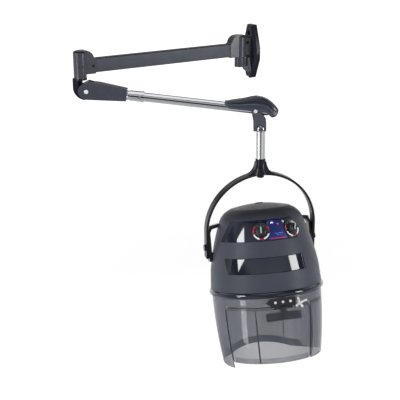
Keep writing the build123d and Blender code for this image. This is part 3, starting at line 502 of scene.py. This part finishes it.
def window_columns(z):
    """Angles round the hood: slope, glass, right lip, then the rest of the way round."""
    a, b, c, d = between(z, LEFT_END), between(z, LEFT_FLOOR), RIGHT_END - RIGHT_LIP, RIGHT_END
    angles = [a + (b - a) * i / SLOPE_COLUMNS for i in range(SLOPE_COLUMNS)]
    angles += [b + (c - b) * i / GLASS_COLUMNS for i in range(GLASS_COLUMNS)]
    angles += [c, d]
    angles += [d + (a + 360 - d) * i / REST_COLUMNS for i in range(1, REST_COLUMNS)]
    return angles


def recess_depth(z, column):
    for low, high in (UPPER, LOWER):
        if low + LIP - SLACK <= z <= high - LIP + SLACK and column <= LAST_GLASS:
            return RECESS * min(1.0, column / SLOPE_COLUMNS)
    return 0.0


SHELL_ROWS = window_rows()
SHELL_GRID = [[outline_point(DOME_LINE, a, z, -recess_depth(z, j)) for j, a in enumerate(window_columns(z))]
              for z in SHELL_ROWS]


def in_window(window, i, j):
    low, high = window
    return low - SLACK <= SHELL_ROWS[i] and SHELL_ROWS[i + 1] <= high + SLACK and j <= LAST_GLASS


def in_either(i, j):
    return in_window(UPPER, i, j) or in_window(LOWER, i, j)


def shell_piece(name, keep, mat, sharp=SHARP):
    return grid_piece(name, SHELL_GRID, [mat], HOOD, closed=True, keep=keep, sharp=sharp)


def build_shell():
    skin = shell_piece("hood_skin", lambda i, j: not in_either(i, j), SHELL_GREY)
    belongs(skin, "hood", "shell_grey", "hood_shell")
    for place, window in (("upper", UPPER), ("lower", LOWER)):
        glass = shell_piece(place + "_glass", lambda i, j: in_window(window, i, j) and j >= SLOPE_COLUMNS,
                            GLOSS_BLACK, CRISP)
        belongs(glass, "hood", "gloss_black", place + "_window")
    slopes = shell_piece("window_slopes", lambda i, j: in_either(i, j) and j < SLOPE_COLUMNS, SLOPE_BLACK)
    belongs(slopes, "hood", "shell_grey")


def build_crown():
    """The raised disc on the crown, with the step round it and the well of its plug."""
    points = [polar(360 * j / CROWN_STEPS, r, z) for r, z in CROWN_LINE for j in range(CROWN_STEPS)]
    faces = grid_faces(len(CROWN_LINE), CROWN_STEPS, closed=True)
    belongs(build("crown_disc", points, faces, [CROWN_GREY], HOOD), "hood", "shell_grey")


# Dials and knobs: each is drawn about its own shaft, y into the hood, in mm --
DIAL_PROFILE = [(0.3, -2.2), (12, -2.2), (22.6, -2.2), (23.2, -2.5), (27.9, -2.5), (28.4, -2.1), (28.6, -1.2),
                (28.6, 5.5)]
# Printed rings: inner radius, outer radius, y
RED_RING = (23.6, 27.6, -2.85)
WHITE_RING = (23.2, 27.9, -2.85)
TICK_RING = (19.6, 22.0, -2.35)
PRINT_DEPTH = 0.25
TICKS = [-150 + 30 * k for k in range(11)]
TICK_HALF = 1.2
# The coloured arcs, from and to in degrees clockwise from the top
TIMER_RED = [(167, 193), (254, 312), (52, 84)]
TIMER_WHITE = [(110, 164), (196, 251)]
HEAT_RED = [(148, 186), (262, 296)]
HEAT_WHITE = [(94, 145), (189, 250)]

KNOB_PROFILE = [(16.4, -2.7), (16.4, -4.2), (15.4, -5.0), (14.9, -12.6), (14.4, -13.8), (13.2, -14.6),
                (0.3, -14.9)]
FLUTES = 24
FLUTE_DEPTH = 0.45
FLUTED_R, FLUTED_Y = 13, -4.4
GRIP_PLAN = [(-4.2, -13.6), (-3.4, 13.6), (3.4, 13.6), (4.2, -13.6)]
GRIP_BASE, GRIP_CREST = -14.2, -19.2
CREST_WIDE, CREST_LONG = 0.72, 0.94  # the crest against the base
POINTER_PLAN = [(-2.3, -8.5), (2.3, -8.5), (2.0, 12.4), (-2.0, 12.4)]
POINTER_TOP, POINTER_FOOT = -19.35, -18.6


def dial_place(joint):
    """The frame of a knob's joint: y into the hood, z up its flank."""
    out = joint_axis(joint)
    axis = joint_axis("fan_spin")
    up = (axis - out * axis.dot(out)).normalized()
    return frame_matrix(joint_origin(joint), up.cross(out), up)


def ring_part(name, place, start, end, ring, mat):
    """Part of a printed ring, from and to in degrees clockwise from the top."""
    inner, outer, y = ring
    steps = max(6, int((end - start) / 3))
    rows = []
    for r, lift in ((outer, PRINT_DEPTH), (outer, 0.0), (inner, 0.0), (inner, PRINT_DEPTH)):
        angles = [math.radians(start + (end - start) * i / steps) for i in range(steps + 1)]
        rows.append([(r * math.sin(a), y + lift, r * math.cos(a)) for a in angles])
    belongs(grid_piece(name, rows, [mat], place), "hood", "dial_print")


def build_dial(label, red_arcs, white_arcs):
    place = dial_place(label + "_turn")
    disc = lathe(label + "_dial", DIAL_PROFILE, [DIAL_PRINT], place, steps=96)
    for k, (start, end) in enumerate(red_arcs):
        ring_part(f"{label}_red_{k}", place, start, end, RED_RING, PRINT_RED)
    for k, (start, end) in enumerate(white_arcs):
        ring_part(f"{label}_white_{k}", place, start, end, WHITE_RING, PRINT_WHITE)
    for k, tick in enumerate(TICKS):
        ring_part(f"{label}_tick_{k}", place, tick - TICK_HALF, tick + TICK_HALF, TICK_RING, PRINT_GREY)
    return belongs(disc, "hood", "dial_print")


def flutes(angle, radius, y):
    if radius <= FLUTED_R or y >= FLUTED_Y:
        return 0.0
    return -FLUTE_DEPTH * (0.5 + 0.5 * math.cos(FLUTES * angle))


def build_knob(label, node, pointer_turn):
    """Fluted knob with a raised grip and a pale pointer line."""
    place = dial_place(label + "_turn") @ Matrix.Rotation(math.radians(pointer_turn), 4, "Y")
    cap = lathe(node + "_cap", KNOB_PROFILE, [KNOB_BLACK], place, steps=144, wave=flutes)
    belongs(cap, node, "knob_black", node)
    points = [(x, GRIP_BASE, z) for x, z in GRIP_PLAN]
    points += [(x * CREST_WIDE, GRIP_CREST, z * CREST_LONG) for x, z in GRIP_PLAN]
    grip = build(node + "_grip", points, prism_faces(len(GRIP_PLAN)), [KNOB_BLACK], place)
    belongs(round_edges(grip, 0.9), node, "knob_black")
    points = [(x, y, z) for y in (POINTER_TOP, POINTER_FOOT) for x, z in POINTER_PLAN]
    line = build(node + "_pointer", points, prism_faces(len(POINTER_PLAN)), [PRINT_GREY], place)
    belongs(line, node, "lamp_white")


# The blue label and its two lamps --------------------------------------------
LABEL_THICK = 0.5
PATCH_STEPS = 24
PATCH_RADIUS = 150.0  # the flank's mean radius behind the label
# Bars: name, angles from and to, heights from and to, material, corner radius
LABEL_BARS = [
    ("label_band", -7.4, 12.4, 25.5, 28.5, PRINT_RED, 1.2),
    ("label_light_bar", -1.5, 9.5, 41, 43.2, PRINT_BLUE, 1.0),
    ("label_light_bar_low", 0.5, 8.0, 36, 37.4, PRINT_BLUE, 0.6),
]
BAR_LIFT = -1.6
# Diamonds: half width in degrees, half height, scale that lifts the second off the first, material
LABEL_MARKS = [(2.0, 5.5, 1.0, PRINT_RED), (0.9, 2.5, 1.0006, PRINT_BLUE)]
MARK_ANGLE, MARK_Z, MARK_LIFT, MARK_THICK = 4.7, 71, -1.4, 0.4
LAMP_ANGLES = (-3.0, 12.5)
LAMP_RADIUS, LAMP_Z, LAMP_LEAN = 140.34, 76, -24
LENS_PROFILE = [(3.1, 3), (3.1, -1.4), (2.7, -2.6), (1.6, -3.5), (0.1, -3.8)]
COLLAR_PROFILE = [(3.2, 3), (3.2, -1.7), (3.7, -2.0), (4.3, -1.4), (4.4, 3)]
LAMP_STEPS = 32


def patch(name, a0, a1, z0, z1, lift, mat, corner):
    """A thin panel on the flank between two angles and heights, with rounded corners."""
    grid = []
    for i in range(PATCH_STEPS + 1):
        z = z0 + (z1 - z0) * i / PATCH_STEPS
        trim = math.degrees(corner_drop(min(z - z0, z1 - z), corner) / PATCH_RADIUS)
        row = [a0 + trim + (a1 - a0 - 2 * trim) * j / PATCH_STEPS for j in range(PATCH_STEPS + 1)]
        grid.append([outline_point(DOME_LINE, a, z, lift) for a in row])
    return belongs(thicken(grid_piece(name, grid, [mat], HOOD), LABEL_THICK), "hood", "label_blue")


def build_label():
    panel = patch("label_field", -9.5, 14.5, 23.5, 85, -1.9, LABEL_BLUE, 3.0)
    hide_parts("control_label")
    for name, a0, a1, z0, z1, mat, corner in LABEL_BARS:
        patch(name, a0, a1, z0, z1, BAR_LIFT, mat, corner)
    for k, (wide, high, scale, mat) in enumerate(LABEL_MARKS):
        corners = [(MARK_ANGLE, MARK_Z + high), (MARK_ANGLE + wide, MARK_Z),
                   (MARK_ANGLE, MARK_Z - high), (MARK_ANGLE - wide, MARK_Z)]
        points = [outline_point(DOME_LINE, a, z, MARK_LIFT) * scale for a, z in corners]
        mark = build(f"label_mark_{k}", points, [(0, 1, 2, 3)], [mat], HOOD)
        belongs(thicken(mark, MARK_THICK), "hood", "label_blue")


def lamp_place(angle):
    turn = Matrix.Rotation(math.radians(angle), 4, "Z")
    shift = Matrix.Translation(Vector((0, -LAMP_RADIUS, LAMP_Z)) * MM)
    return HOOD @ turn @ shift @ Matrix.Rotation(math.radians(LAMP_LEAN), 4, "X")


def build_lamps():
    for k, angle in enumerate(LAMP_ANGLES):
        place = lamp_place(angle)
        lens = lathe(f"lamp_lens_{k}", LENS_PROFILE, [LAMP_WHITE], place, LAMP_STEPS)
        belongs(lens, "hood", "lamp_white")
        collar = lathe(f"lamp_collar_{k}", COLLAR_PROFILE, [CHROME], place, LAMP_STEPS)
        belongs(collar, "hood", "chrome")
        if k == 0:
            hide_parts("neon_lamps")


# The smoked visor and its lifting flap, in the hood's frame ------------------
VISOR_LINE = arc3((184.5, -160.6), (178.5, -290), (165, -396), 40) + [(165, -396)]
VISOR_RADIUS = 178.0  # the visor's mean radius, which turns widths into angles
VISOR_THICK = 2.5
FLAP_START, FLAP_END = -67.0, 31.0
FLAP_SPAN = FLAP_END - FLAP_START
BACK_SPAN = 360 - FLAP_SPAN
FLAP_COLUMNS, FLAP_ROWS, FLAP_GAP = 64, 26, 1.3
TOP_CORNER, HEM_CORNER = 20.0, 7.0
EDGE_LIFT = 0.1
BAND_TOP, BAND_LOW, BAND_ROWS, WRAP_ROWS = -160.7, -186.0, 6, 22
BACK_COLUMNS, FRONT_COLUMNS = 90, 32
FLAP_TOP = -188.2
HEM, SIDE_HEM, WRAP_HEM = -376.0, -378.0, -396.0
LIP_LOW, LIP_HIGH = 1.0, 17.0
HEM_RADIUS = 165.0
DROP_START, DROP_SPAN = 62, 60  # angles over which the hem falls behind the flap's right end
FOOT_START, FOOT_SPAN, FOOT_RISE = 222, 70, 5.0
ARCH_HALF, ARCH_RISE = 112.0, 18.0
ARCH_RADIUS = (ARCH_HALF ** 2 + ARCH_RISE ** 2) / (2 * ARCH_RISE)
NAPE_ARC = [118 + 124.0 * i / 80 for i in range(81)]
NAPE_HALF, NAPE_TAPER = 62.5, 10.0
NAPE_JOINT, FLAP_JOINT, BAND_JOINT = 145.5, -30.5, -3.5
SEAM_TOP = -163.0
SEAM_STEPS = 24
RAIL_TOP, RAIL_LOW, RAIL_INSET = -190.6, -197.4, 0.2
STOP_TOP, STOP_LENGTH, STOP_STEPS = -226, 148, 24


def corner_drop(gap, radius):
    """How far a rounded corner pulls an edge in at this distance from its end."""
    if gap >= radius:
        return 0.0
    return radius - math.sqrt(max(0.0, radius ** 2 - (radius - gap) ** 2))


def wrap_hem(angle):
    """Lowest height of the fixed part: short at the front right, arched at the nape, with a foot."""
    x = HEM_RADIUS * math.sin(math.radians(angle))
    if math.cos(math.radians(angle)) < 0 and abs(x) < ARCH_HALF:
        return WRAP_HEM + ARCH_RISE - ARCH_RADIUS + math.sqrt(ARCH_RADIUS ** 2 - x * x)
    if angle < 180:
        return SIDE_HEM + (WRAP_HEM - SIDE_HEM) * smooth_step((angle - DROP_START) / DROP_SPAN)
    return WRAP_HEM + FOOT_RISE * math.sin(math.pi * smooth_step((angle - FOOT_START) / FOOT_SPAN))


def wrap_columns():
    """Angles from the flap's right end round the back and across the front, with the arch's corners."""
    arch_end = math.degrees(math.asin(ARCH_HALF / HEM_RADIUS))
    corners = (180 - arch_end, 180 + arch_end)
    angles = [FLAP_END + BACK_SPAN * i / BACK_COLUMNS for i in range(BACK_COLUMNS)]
    angles = [a for a in angles if min(abs(a - c) for c in corners) > 1] + list(corners)
    front = [FLAP_END + BACK_SPAN + FLAP_SPAN * i / FRONT_COLUMNS for i in range(FRONT_COLUMNS)]
    return sorted(angles) + front


def visor_row(angles, z_of, lift=0.0):
    return [outline_point(VISOR_LINE, a, z_of(a), lift) for a in angles]


def build_visor():
    columns = wrap_columns()
    grid = [visor_row(columns, lambda a: BAND_TOP + (BAND_LOW - BAND_TOP) * i / BAND_ROWS)
            for i in range(BAND_ROWS)]
    grid += [visor_row(columns, lambda a: BAND_LOW + (wrap_hem(a) - BAND_LOW) * i / WRAP_ROWS)
             for i in range(WRAP_ROWS + 1)]
    flap_first = columns.index(FLAP_END + BACK_SPAN)
    wrap = grid_piece("visor_wrap", grid, [SMOKED_CLEAR, VISOR_EDGE], HOOD, closed=True,
                      keep=lambda i, j: i < BAND_ROWS or j < flap_first, sharp=BLUNT)
    belongs(thicken(wrap, VISOR_THICK, 1), "hood", "smoked_clear", "fixed_visor")


def flap_grid():
    """Rows of the flap, with its upper corners rounded widely and its lower ones a little."""
    a0, a1 = FLAP_START + FLAP_GAP, FLAP_END - FLAP_GAP
    turns = [math.pi * j / FLAP_COLUMNS for j in range(FLAP_COLUMNS + 1)]
    angles = [a0 + (a1 - a0) * (1 - math.cos(turn)) / 2 for turn in turns]

    def height(angle, t):
        gap = math.radians(min(angle - a0, a1 - angle)) * VISOR_RADIUS
        top = FLAP_TOP - corner_drop(gap, TOP_CORNER)
        low = HEM + corner_drop(gap, HEM_CORNER)
        return top + (low - top) * t

    return [visor_row(angles, lambda a: height(a, i / FLAP_ROWS)) for i in range(FLAP_ROWS + 1)]


def strip(name, angles, low, high, lift, thick, mat, body="hood"):
    """A band on the visor between two heights given for each angle."""
    grid = [visor_row(angles, lambda a: high(a) + (low(a) - high(a)) * i / 3, lift) for i in range(4)]
    belongs(thicken(grid_piece(name, grid, [mat], HOOD, sharp=BLUNT), thick), body, "smoked_clear")


def seam(name, angle, top, hem, half, body, lift=0.4):
    """An upright dark joint, narrower at its top."""
    grid = []
    for i in range(SEAM_STEPS + 1):
        z = top + (hem - top) * i / SEAM_STEPS
        wide = math.degrees(half * (0.55 + 0.45 * min(1.0, 3 * i / SEAM_STEPS)) / VISOR_RADIUS)
        grid.append([outline_point(VISOR_LINE, angle + wide * k, z, lift - 0.25 * abs(k))
                     for k in (-1, -0.5, 0, 0.5, 1)])
    belongs(thicken(grid_piece(name, grid, [VISOR_EDGE], HOOD), 0.9), body, "trim_black")


def bead(name, angles, z_of, lift, radius, body, mat):
    belongs(sweep(name, visor_row(angles, z_of, lift), radius, [mat], HOOD), body, "trim_black")


def build_flap():
    grid = flap_grid()
    flap = grid_piece("front_flap_panel", grid, [SMOKED_CLEAR, VISOR_EDGE], HOOD, sharp=BLUNT)
    belongs(thicken(flap, VISOR_THICK, 1), "front_flap", "smoked_clear", "front_flap")
    edge = [row[0] for row in reversed(grid)] + grid[0][1:-1] + [row[-1] for row in grid]
    edge = [p + Vector((p.x, p.y, 0)).normalized() * EDGE_LIFT for p in edge]
    belongs(sweep("flap_edge_bead", edge, 1.0, [VISOR_EDGE], HOOD, sides=8), "front_flap", "trim_black")
    hem = [FLAP_START + 4 + 90 * i / 40 for i in range(41)]
    strip("flap_hem_lip", hem, lambda a: HEM + LIP_LOW, lambda a: HEM + LIP_HIGH, -2.6, 0.8, SMOKED_LIGHT,
          "front_flap")
    seam("flap_joint", FLAP_JOINT, FLAP_TOP - 1.3, HEM + 0.6, 2.4, "front_flap")


def rail(name, first, last, body):
    """A pale stiffening band between two dark lines."""
    span = [first + (last - first) * i / 60 for i in range(61)]
    strip(name + "_band", span, lambda a: RAIL_LOW + RAIL_INSET, lambda a: RAIL_TOP - RAIL_INSET, 0.9, 0.8,
          SMOKED_LIGHT, body)
    bead(name + "_line_top", span, lambda a: RAIL_TOP, 0.3, 0.85, body, VISOR_LINE_MAT)
    bead(name + "_line_low", span, lambda a: RAIL_LOW, 0.3, 0.85, body, VISOR_LINE_MAT)


def nape_band_top(angle):
    return wrap_hem(angle) + 3.0 + 21.0 * smooth_step((NAPE_HALF - abs(angle - 180)) / NAPE_TAPER)


def build_visor_trim():
    rail("flap_rail", FLAP_START + 2.5, FLAP_END - 2.5, "front_flap")
    rail("side_rail", FLAP_END + 0.8, FLAP_END + 24, "hood")
    seam("nape_joint", NAPE_JOINT, SEAM_TOP, wrap_hem(NAPE_JOINT) + 1.0, 2.0, "hood", lift=-2.6)
    seam("band_joint", BAND_JOINT, SEAM_TOP, -184.0, 0.8, "hood")
    strip("nape_band", NAPE_ARC, lambda a: wrap_hem(a) + 0.4, nape_band_top, -2.7, 1.0, SMOKED_DARK)
    bead("nape_bead", NAPE_ARC, lambda a: wrap_hem(a) + 1.9, -1.2, 1.5, "hood", VISOR_EDGE)
    rows = []
    for i in range(STOP_STEPS + 1):
        wide = 3.0 * math.sin(math.pi * (i / STOP_STEPS) ** 0.8) ** 0.8 + 0.25
        z = STOP_TOP - STOP_LENGTH * i / STOP_STEPS
        rows.append([outline_point(VISOR_LINE, FLAP_END + 1.0 + wide * k / 3, z, 0.2) for k in range(4)])
    belongs(thicken(grid_piece("flap_stop_strip", rows, [VISOR_EDGE], HOOD), 0.7), "hood", "trim_black")


# The wall bracket, arms, head and yoke ---------------------------------------
# CAD nodes shown with rounded edges: the bevel's width in mm, and a finish other than the slot's own
ROUNDED = {
    "wall_plate": 2.4, "pivot_bracket": 2.2, "wall_end_casting": 2.6, "elbow_end_casting": 2.6,
    "first_arm_tube": 1.2, "elbow_knuckle": 1.6, "arm_housing": 3.4, "lock_nut": 0.9, "tube_collar": 0.8,
    "lift_hinge_pin": 0.8, "head_hinge_pin": 0.8, "head_bracket": 1.6, "yoke": 1.8, "yoke_pivot_bolts": 1.4,
    "left_side_bracket": 1.8, "right_side_bracket": 1.8, "hinge_bar": 0.7, "flap_plate": 0.7,
    "hinge_bar_bolts": 0.5, "catch_lever": 0.9, "top_cap": 1.2,
}
FINISH_OF = {
    "arm_housing": CASTING_GREY, "elbow_end_casting": CASTING_GREY, "wall_end_casting": CASTING_GREY,
    "pivot_bracket": CASTING_GREY, "top_cap": SLOPE_BLACK, "catch_lever": BRIGHT_METAL,
    "hinge_bar_bolts": BRIGHT_METAL, "lift_hinge_pin": BRIGHT_METAL, "head_hinge_pin": BRIGHT_METAL,
    "flap_plate": SMOKED_DARK,
}

# The skirt of the wall bracket, in the wall's frame, in mm: y, z
SKIRT = [(-21, -17), (-33, -18), (-36.5, -22), (-36.5, -56), (-31, -68), (-21, -76)]
SKIRT_HALF = 20

# The gooseneck end cover, in mm along the second arm from the head bracket's hinge
HEAD_X = 549.0
COVER_TOP = [(-101, 16), (-86, 21.5), (-71, 26), (-54, 30), (-37, 35), (-19, 41.5), (-1, 46), (18, 45),
             (37, 39), (52, 30), (64, 20), (71, 13), (74.4, 8)]
COVER_FOOT = [(-101, 15.6), (-94, 7.5), (-87, -1), (35.4, -1), (44, -8), (53.4, -14.8), (62, -14.5),
              (69, -10), (73, -3), (74.4, 7.6)]
COVER_START, COVER_LENGTH, COVER_STATIONS, COVER_SIDES = -101, 175.0, 60, 24
COVER_HALF = 24.0
NOSE_START, NOSE_LENGTH = 46, 29.5
CREASE = 3  # the column where the cover's back meets its flanks
COVER_SHARP = 50

# The yoke's webs: x, and z from the crown's top; the neck's half width, and how deep they go
YOKE_CROWN = 247.0
WEB_LINE = [(46, -5.5), (42, -2.4), (35, 1.5), (29, 6.5), (24.5, 13), (21, 21), (18.8, 29), (17.2, 38),
            (10, 38), (10, -4), (44, -9)]
WEB_HALF = 12.0


def build_skirt():
    points = [(x, y, z) for x in (-SKIRT_HALF, SKIRT_HALF) for y, z in SKIRT]
    skirt = build("bracket_skirt", points, prism_faces(len(SKIRT)), [CASTING_GREY], Matrix.Identity(4), BLUNT)
    belongs(round_edges(skirt, 3.5, 4), BODY_OF["pivot_bracket"], "black_casting")


def cover_half_width(x):
    if x > NOSE_START:
        return COVER_HALF * math.sqrt(max(0.02, 1 - ((x - NOSE_START) / NOSE_LENGTH) ** 2))
    return COVER_HALF - 5.0 * smooth_step((-60 - x) / 60)


def cover_row(x):
    """An arch across the cover: nearly upright flanks, slightly waisted, and a rounded back."""
    high, low, half = between(x, COVER_TOP), between(x, COVER_FOOT), cover_half_width(x)
    row = []
    for j in range(COVER_SIDES + 1):
        a = math.pi * j / COVER_SIDES
        y = -half * math.copysign(abs(math.cos(a)) ** 0.55, math.cos(a))
        waist = 1 - 0.07 * math.sin(math.pi * min(1.0, 1.6 * math.sin(a)))
        row.append(Vector((HEAD_X + x, y * waist, low + (high - low) * math.sin(a) ** 0.72)))
    return row


def build_end_cover():
    """A hollow saddle: its black back, its flanks in a lighter copy of that black as painted sheen, and a pale
    bead along each crease between them as a painted highlight.
    """
    stations = [COVER_START + COVER_LENGTH * (1 - math.cos(math.pi * i / COVER_STATIONS)) / 2
                for i in range(COVER_STATIONS + 1)]
    grid = [cover_row(x) for x in stations]
    back = range(CREASE, COVER_SIDES - CREASE)
    cover = grid_piece("end_cover_skin", grid, [COVER_BLACK], ARM2, sharp=COVER_SHARP,
                       keep=lambda i, j: j in back)
    belongs(thicken(cover, 2.6, even=False), "second_arm", "cover_black", "arm_end_cover")
    # The flanks take the lighter copy of the cover's black: painted sheen
    flanks = grid_piece("end_cover_flanks", grid, [COVER_LIT_SIDE], ARM2, sharp=COVER_SHARP,
                        keep=lambda i, j: j not in back)
    belongs(thicken(flanks, 2.4, even=False), "second_arm", "cover_black")
    for side, column in (("left", CREASE), ("right", COVER_SIDES - CREASE)):
        path = [row[column] for row in grid][3:-5]
        # a pale bead along each crease: painted highlight
        belongs(sweep("end_cover_crease_highlight_" + side, path, 0.9, [COVER_HIGHLIGHT], ARM2), "second_arm", "cover_black")


def build_yoke_webs():
    """Webs that blend the neck into the strap on both sides."""
    for name, side in (("yoke_web_left", -1), ("yoke_web_right", 1)):
        points = [(side * x, y, YOKE_CROWN + z) for y in (-WEB_HALF, WEB_HALF) for x, z in WEB_LINE]
        web = build(name, points, prism_faces(len(WEB_LINE)), [BLACK_CASTING], YOKE, BLUNT)
        belongs(round_edges(web, 5.0, 4, 50), "yoke", "black_casting")


# Camera, lights and floor, in metres -----------------------------------------
CAMERA_AT = (2.6112, -1.8561, 0.5446)
CAMERA_HEADING = 58.03
CAMERA_PITCH = 19.22
CAMERA_LENS = 80.0
SENSOR = 36.0
AIM = (0.36, -0.2, -0.5)
# Softboxes: name, place, size, watts, roll
SOFTBOXES = [
    ("softbox_left", (0.22, -2.45, 0.33), (0.74, 0.74), 20, math.pi / 4),
    ("softbox_right", (2.39, 1.17, 0.02), (0.8, 1.1), 27, 0.0),
    ("softbox_low", (0.72, -2.77, -0.95), (0.5, 1.4), 17, 0.0),
    ("softbox_top", (0.4, -0.6, 2.6), (2.4, 2.4), 16, 0.0),
]
# The world's brightness from one horizon to the one opposite, and from straight down to straight up
AROUND = [(0.0, 0.05), (0.018, 0.06), (0.05, 0.62), (0.12, 0.62), (0.40, 0.36), (0.88, 1.0), (1.0, 1.0)]
BANDS = [(0.0, 1.0), (0.13, 1.0), (0.17, 0.3), (0.21, 0.3), (0.27, 1.1), (0.45, 1.1), (0.53, 1.0),
         (0.57, 0.3), (0.63, 0.25), (0.68, 1.0), (0.80, 0.8), (0.88, 0.15), (1.0, 0.15)]
FLOOR_DROP = 0.35
FLOOR_HALF = 60.0
GLOW_FROM, GLOW_TO = (1.8, 0.52), (4.5, 0.95)  # distance from the origin, strength


def add_camera():
    data = bpy.data.cameras.new("camera")
    data.lens = CAMERA_LENS
    data.sensor_width = SENSOR
    camera = bpy.data.objects.new("camera", data)
    camera.location = CAMERA_AT
    camera.rotation_euler = (math.radians(90 - CAMERA_PITCH), 0, math.radians(CAMERA_HEADING))
    bpy.context.scene.collection.objects.link(camera)
    bpy.context.scene.camera = camera


def add_softbox(name, place, size, watts, roll):
    data = bpy.data.lights.new(name, "AREA")
    data.shape = "RECTANGLE"
    data.size, data.size_y = size
    data.energy = watts
    lamp = bpy.data.objects.new(name, data)
    lamp.location = place
    aim = (Vector(AIM) - Vector(place)).to_track_quat("-Z", "Y").to_matrix()
    lamp.rotation_euler = (aim @ Matrix.Rotation(roll, 3, "Z")).to_euler()
    bpy.context.scene.collection.objects.link(lamp)


def grey_ramp(tree, source, stops):
    """Grey levels against a value from 0 to 1."""
    ramp = tree.nodes.new("ShaderNodeValToRGB")
    levels = ramp.color_ramp.elements
    for element, (_, level) in zip(list(levels), (stops[0], stops[-1])):
        element.color = (level, level, level, 1)
    for position, level in stops[1:-1]:
        levels.new(position).color = (level, level, level, 1)
    tree.links.new(source, ramp.inputs["Fac"])
    return ramp.outputs["Color"]


def light_studio():
    """Brighter behind the object than in front of it, with dark bands for the chrome, and softboxes."""
    world = bpy.data.worlds.new("studio")
    bpy.context.scene.world = world
    world.use_nodes = True
    tree = world.node_tree
    heading = math.radians(CAMERA_HEADING)
    behind = along(tree, "Generated", (-math.sin(heading), math.cos(heading), 0))
    height = along(tree, "Generated", (0, 0, 1))
    strength = tree.nodes.new("ShaderNodeMath")
    strength.operation = "MULTIPLY"
    tree.links.new(grey_ramp(tree, ranged(tree, behind, -1.0, 1.0), AROUND), strength.inputs[0])
    tree.links.new(grey_ramp(tree, ranged(tree, height, -1.0, 1.0), BANDS), strength.inputs[1])
    tree.links.new(strength.outputs["Value"], tree.nodes["Background"].inputs["Strength"])
    tree.nodes["Background"].inputs["Color"].default_value = (1, 1, 1, 1)
    for softbox in SOFTBOXES:
        add_softbox(*softbox)
    bpy.context.scene.view_settings.view_transform = "Standard"


def add_floor():
    """A pale floor that glows more towards its far edges and isn't seen in reflections."""
    low = CAD_BOX[0][2] - FLOOR_DROP
    corners = [(x * FLOOR_HALF, y * FLOOR_HALF, low) for x, y in ((-1, -1), (1, -1), (1, 1), (-1, 1))]
    mesh = bpy.data.meshes.new("floor")
    mesh.from_pydata(corners, [], [(0, 1, 2, 3)])
    floor = bpy.data.objects.new("floor", mesh)
    bpy.context.scene.collection.objects.link(floor)
    mat = finish_material("pale_floor", (0.95, 0.95, 0.95), 0.9, tone=0.01, bump=0.0, specular=0.0)
    tree = mat.node_tree
    bsdf = tree.nodes["Principled BSDF"]
    bsdf.inputs["Emission Color"].default_value = (1, 1, 1, 1)
    coord = tree.nodes.new("ShaderNodeTexCoord")
    reach = tree.nodes.new("ShaderNodeVectorMath")
    reach.operation = "LENGTH"
    tree.links.new(coord.outputs["Object"], reach.inputs[0])
    (near, faint), (far, bright) = GLOW_FROM, GLOW_TO
    glow = ranged(tree, reach.outputs["Value"], near, far, faint, bright)
    tree.links.new(glow, bsdf.inputs["Emission Strength"])
    dress(floor, mat)
    floor.visible_glossy = False


# The model -------------------------------------------------------------------
build_shell()
build_crown()
timer_disc = build_dial("timer", TIMER_RED, TIMER_WHITE)
build_dial("heat", HEAT_RED, HEAT_WHITE)
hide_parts("dial_plates")
build_knob("timer", "timer_knob", 0)
build_knob("heat", "heat_knob", 24)
build_label()
build_lamps()
build_visor()
build_flap()
build_visor_trim()
for rounded_node, bevel in ROUNDED.items():
    softened(rounded_node, bevel, FINISH_OF.get(rounded_node))
build_skirt()
build_end_cover()
build_yoke_webs()
add_camera()
light_studio()
add_floor()
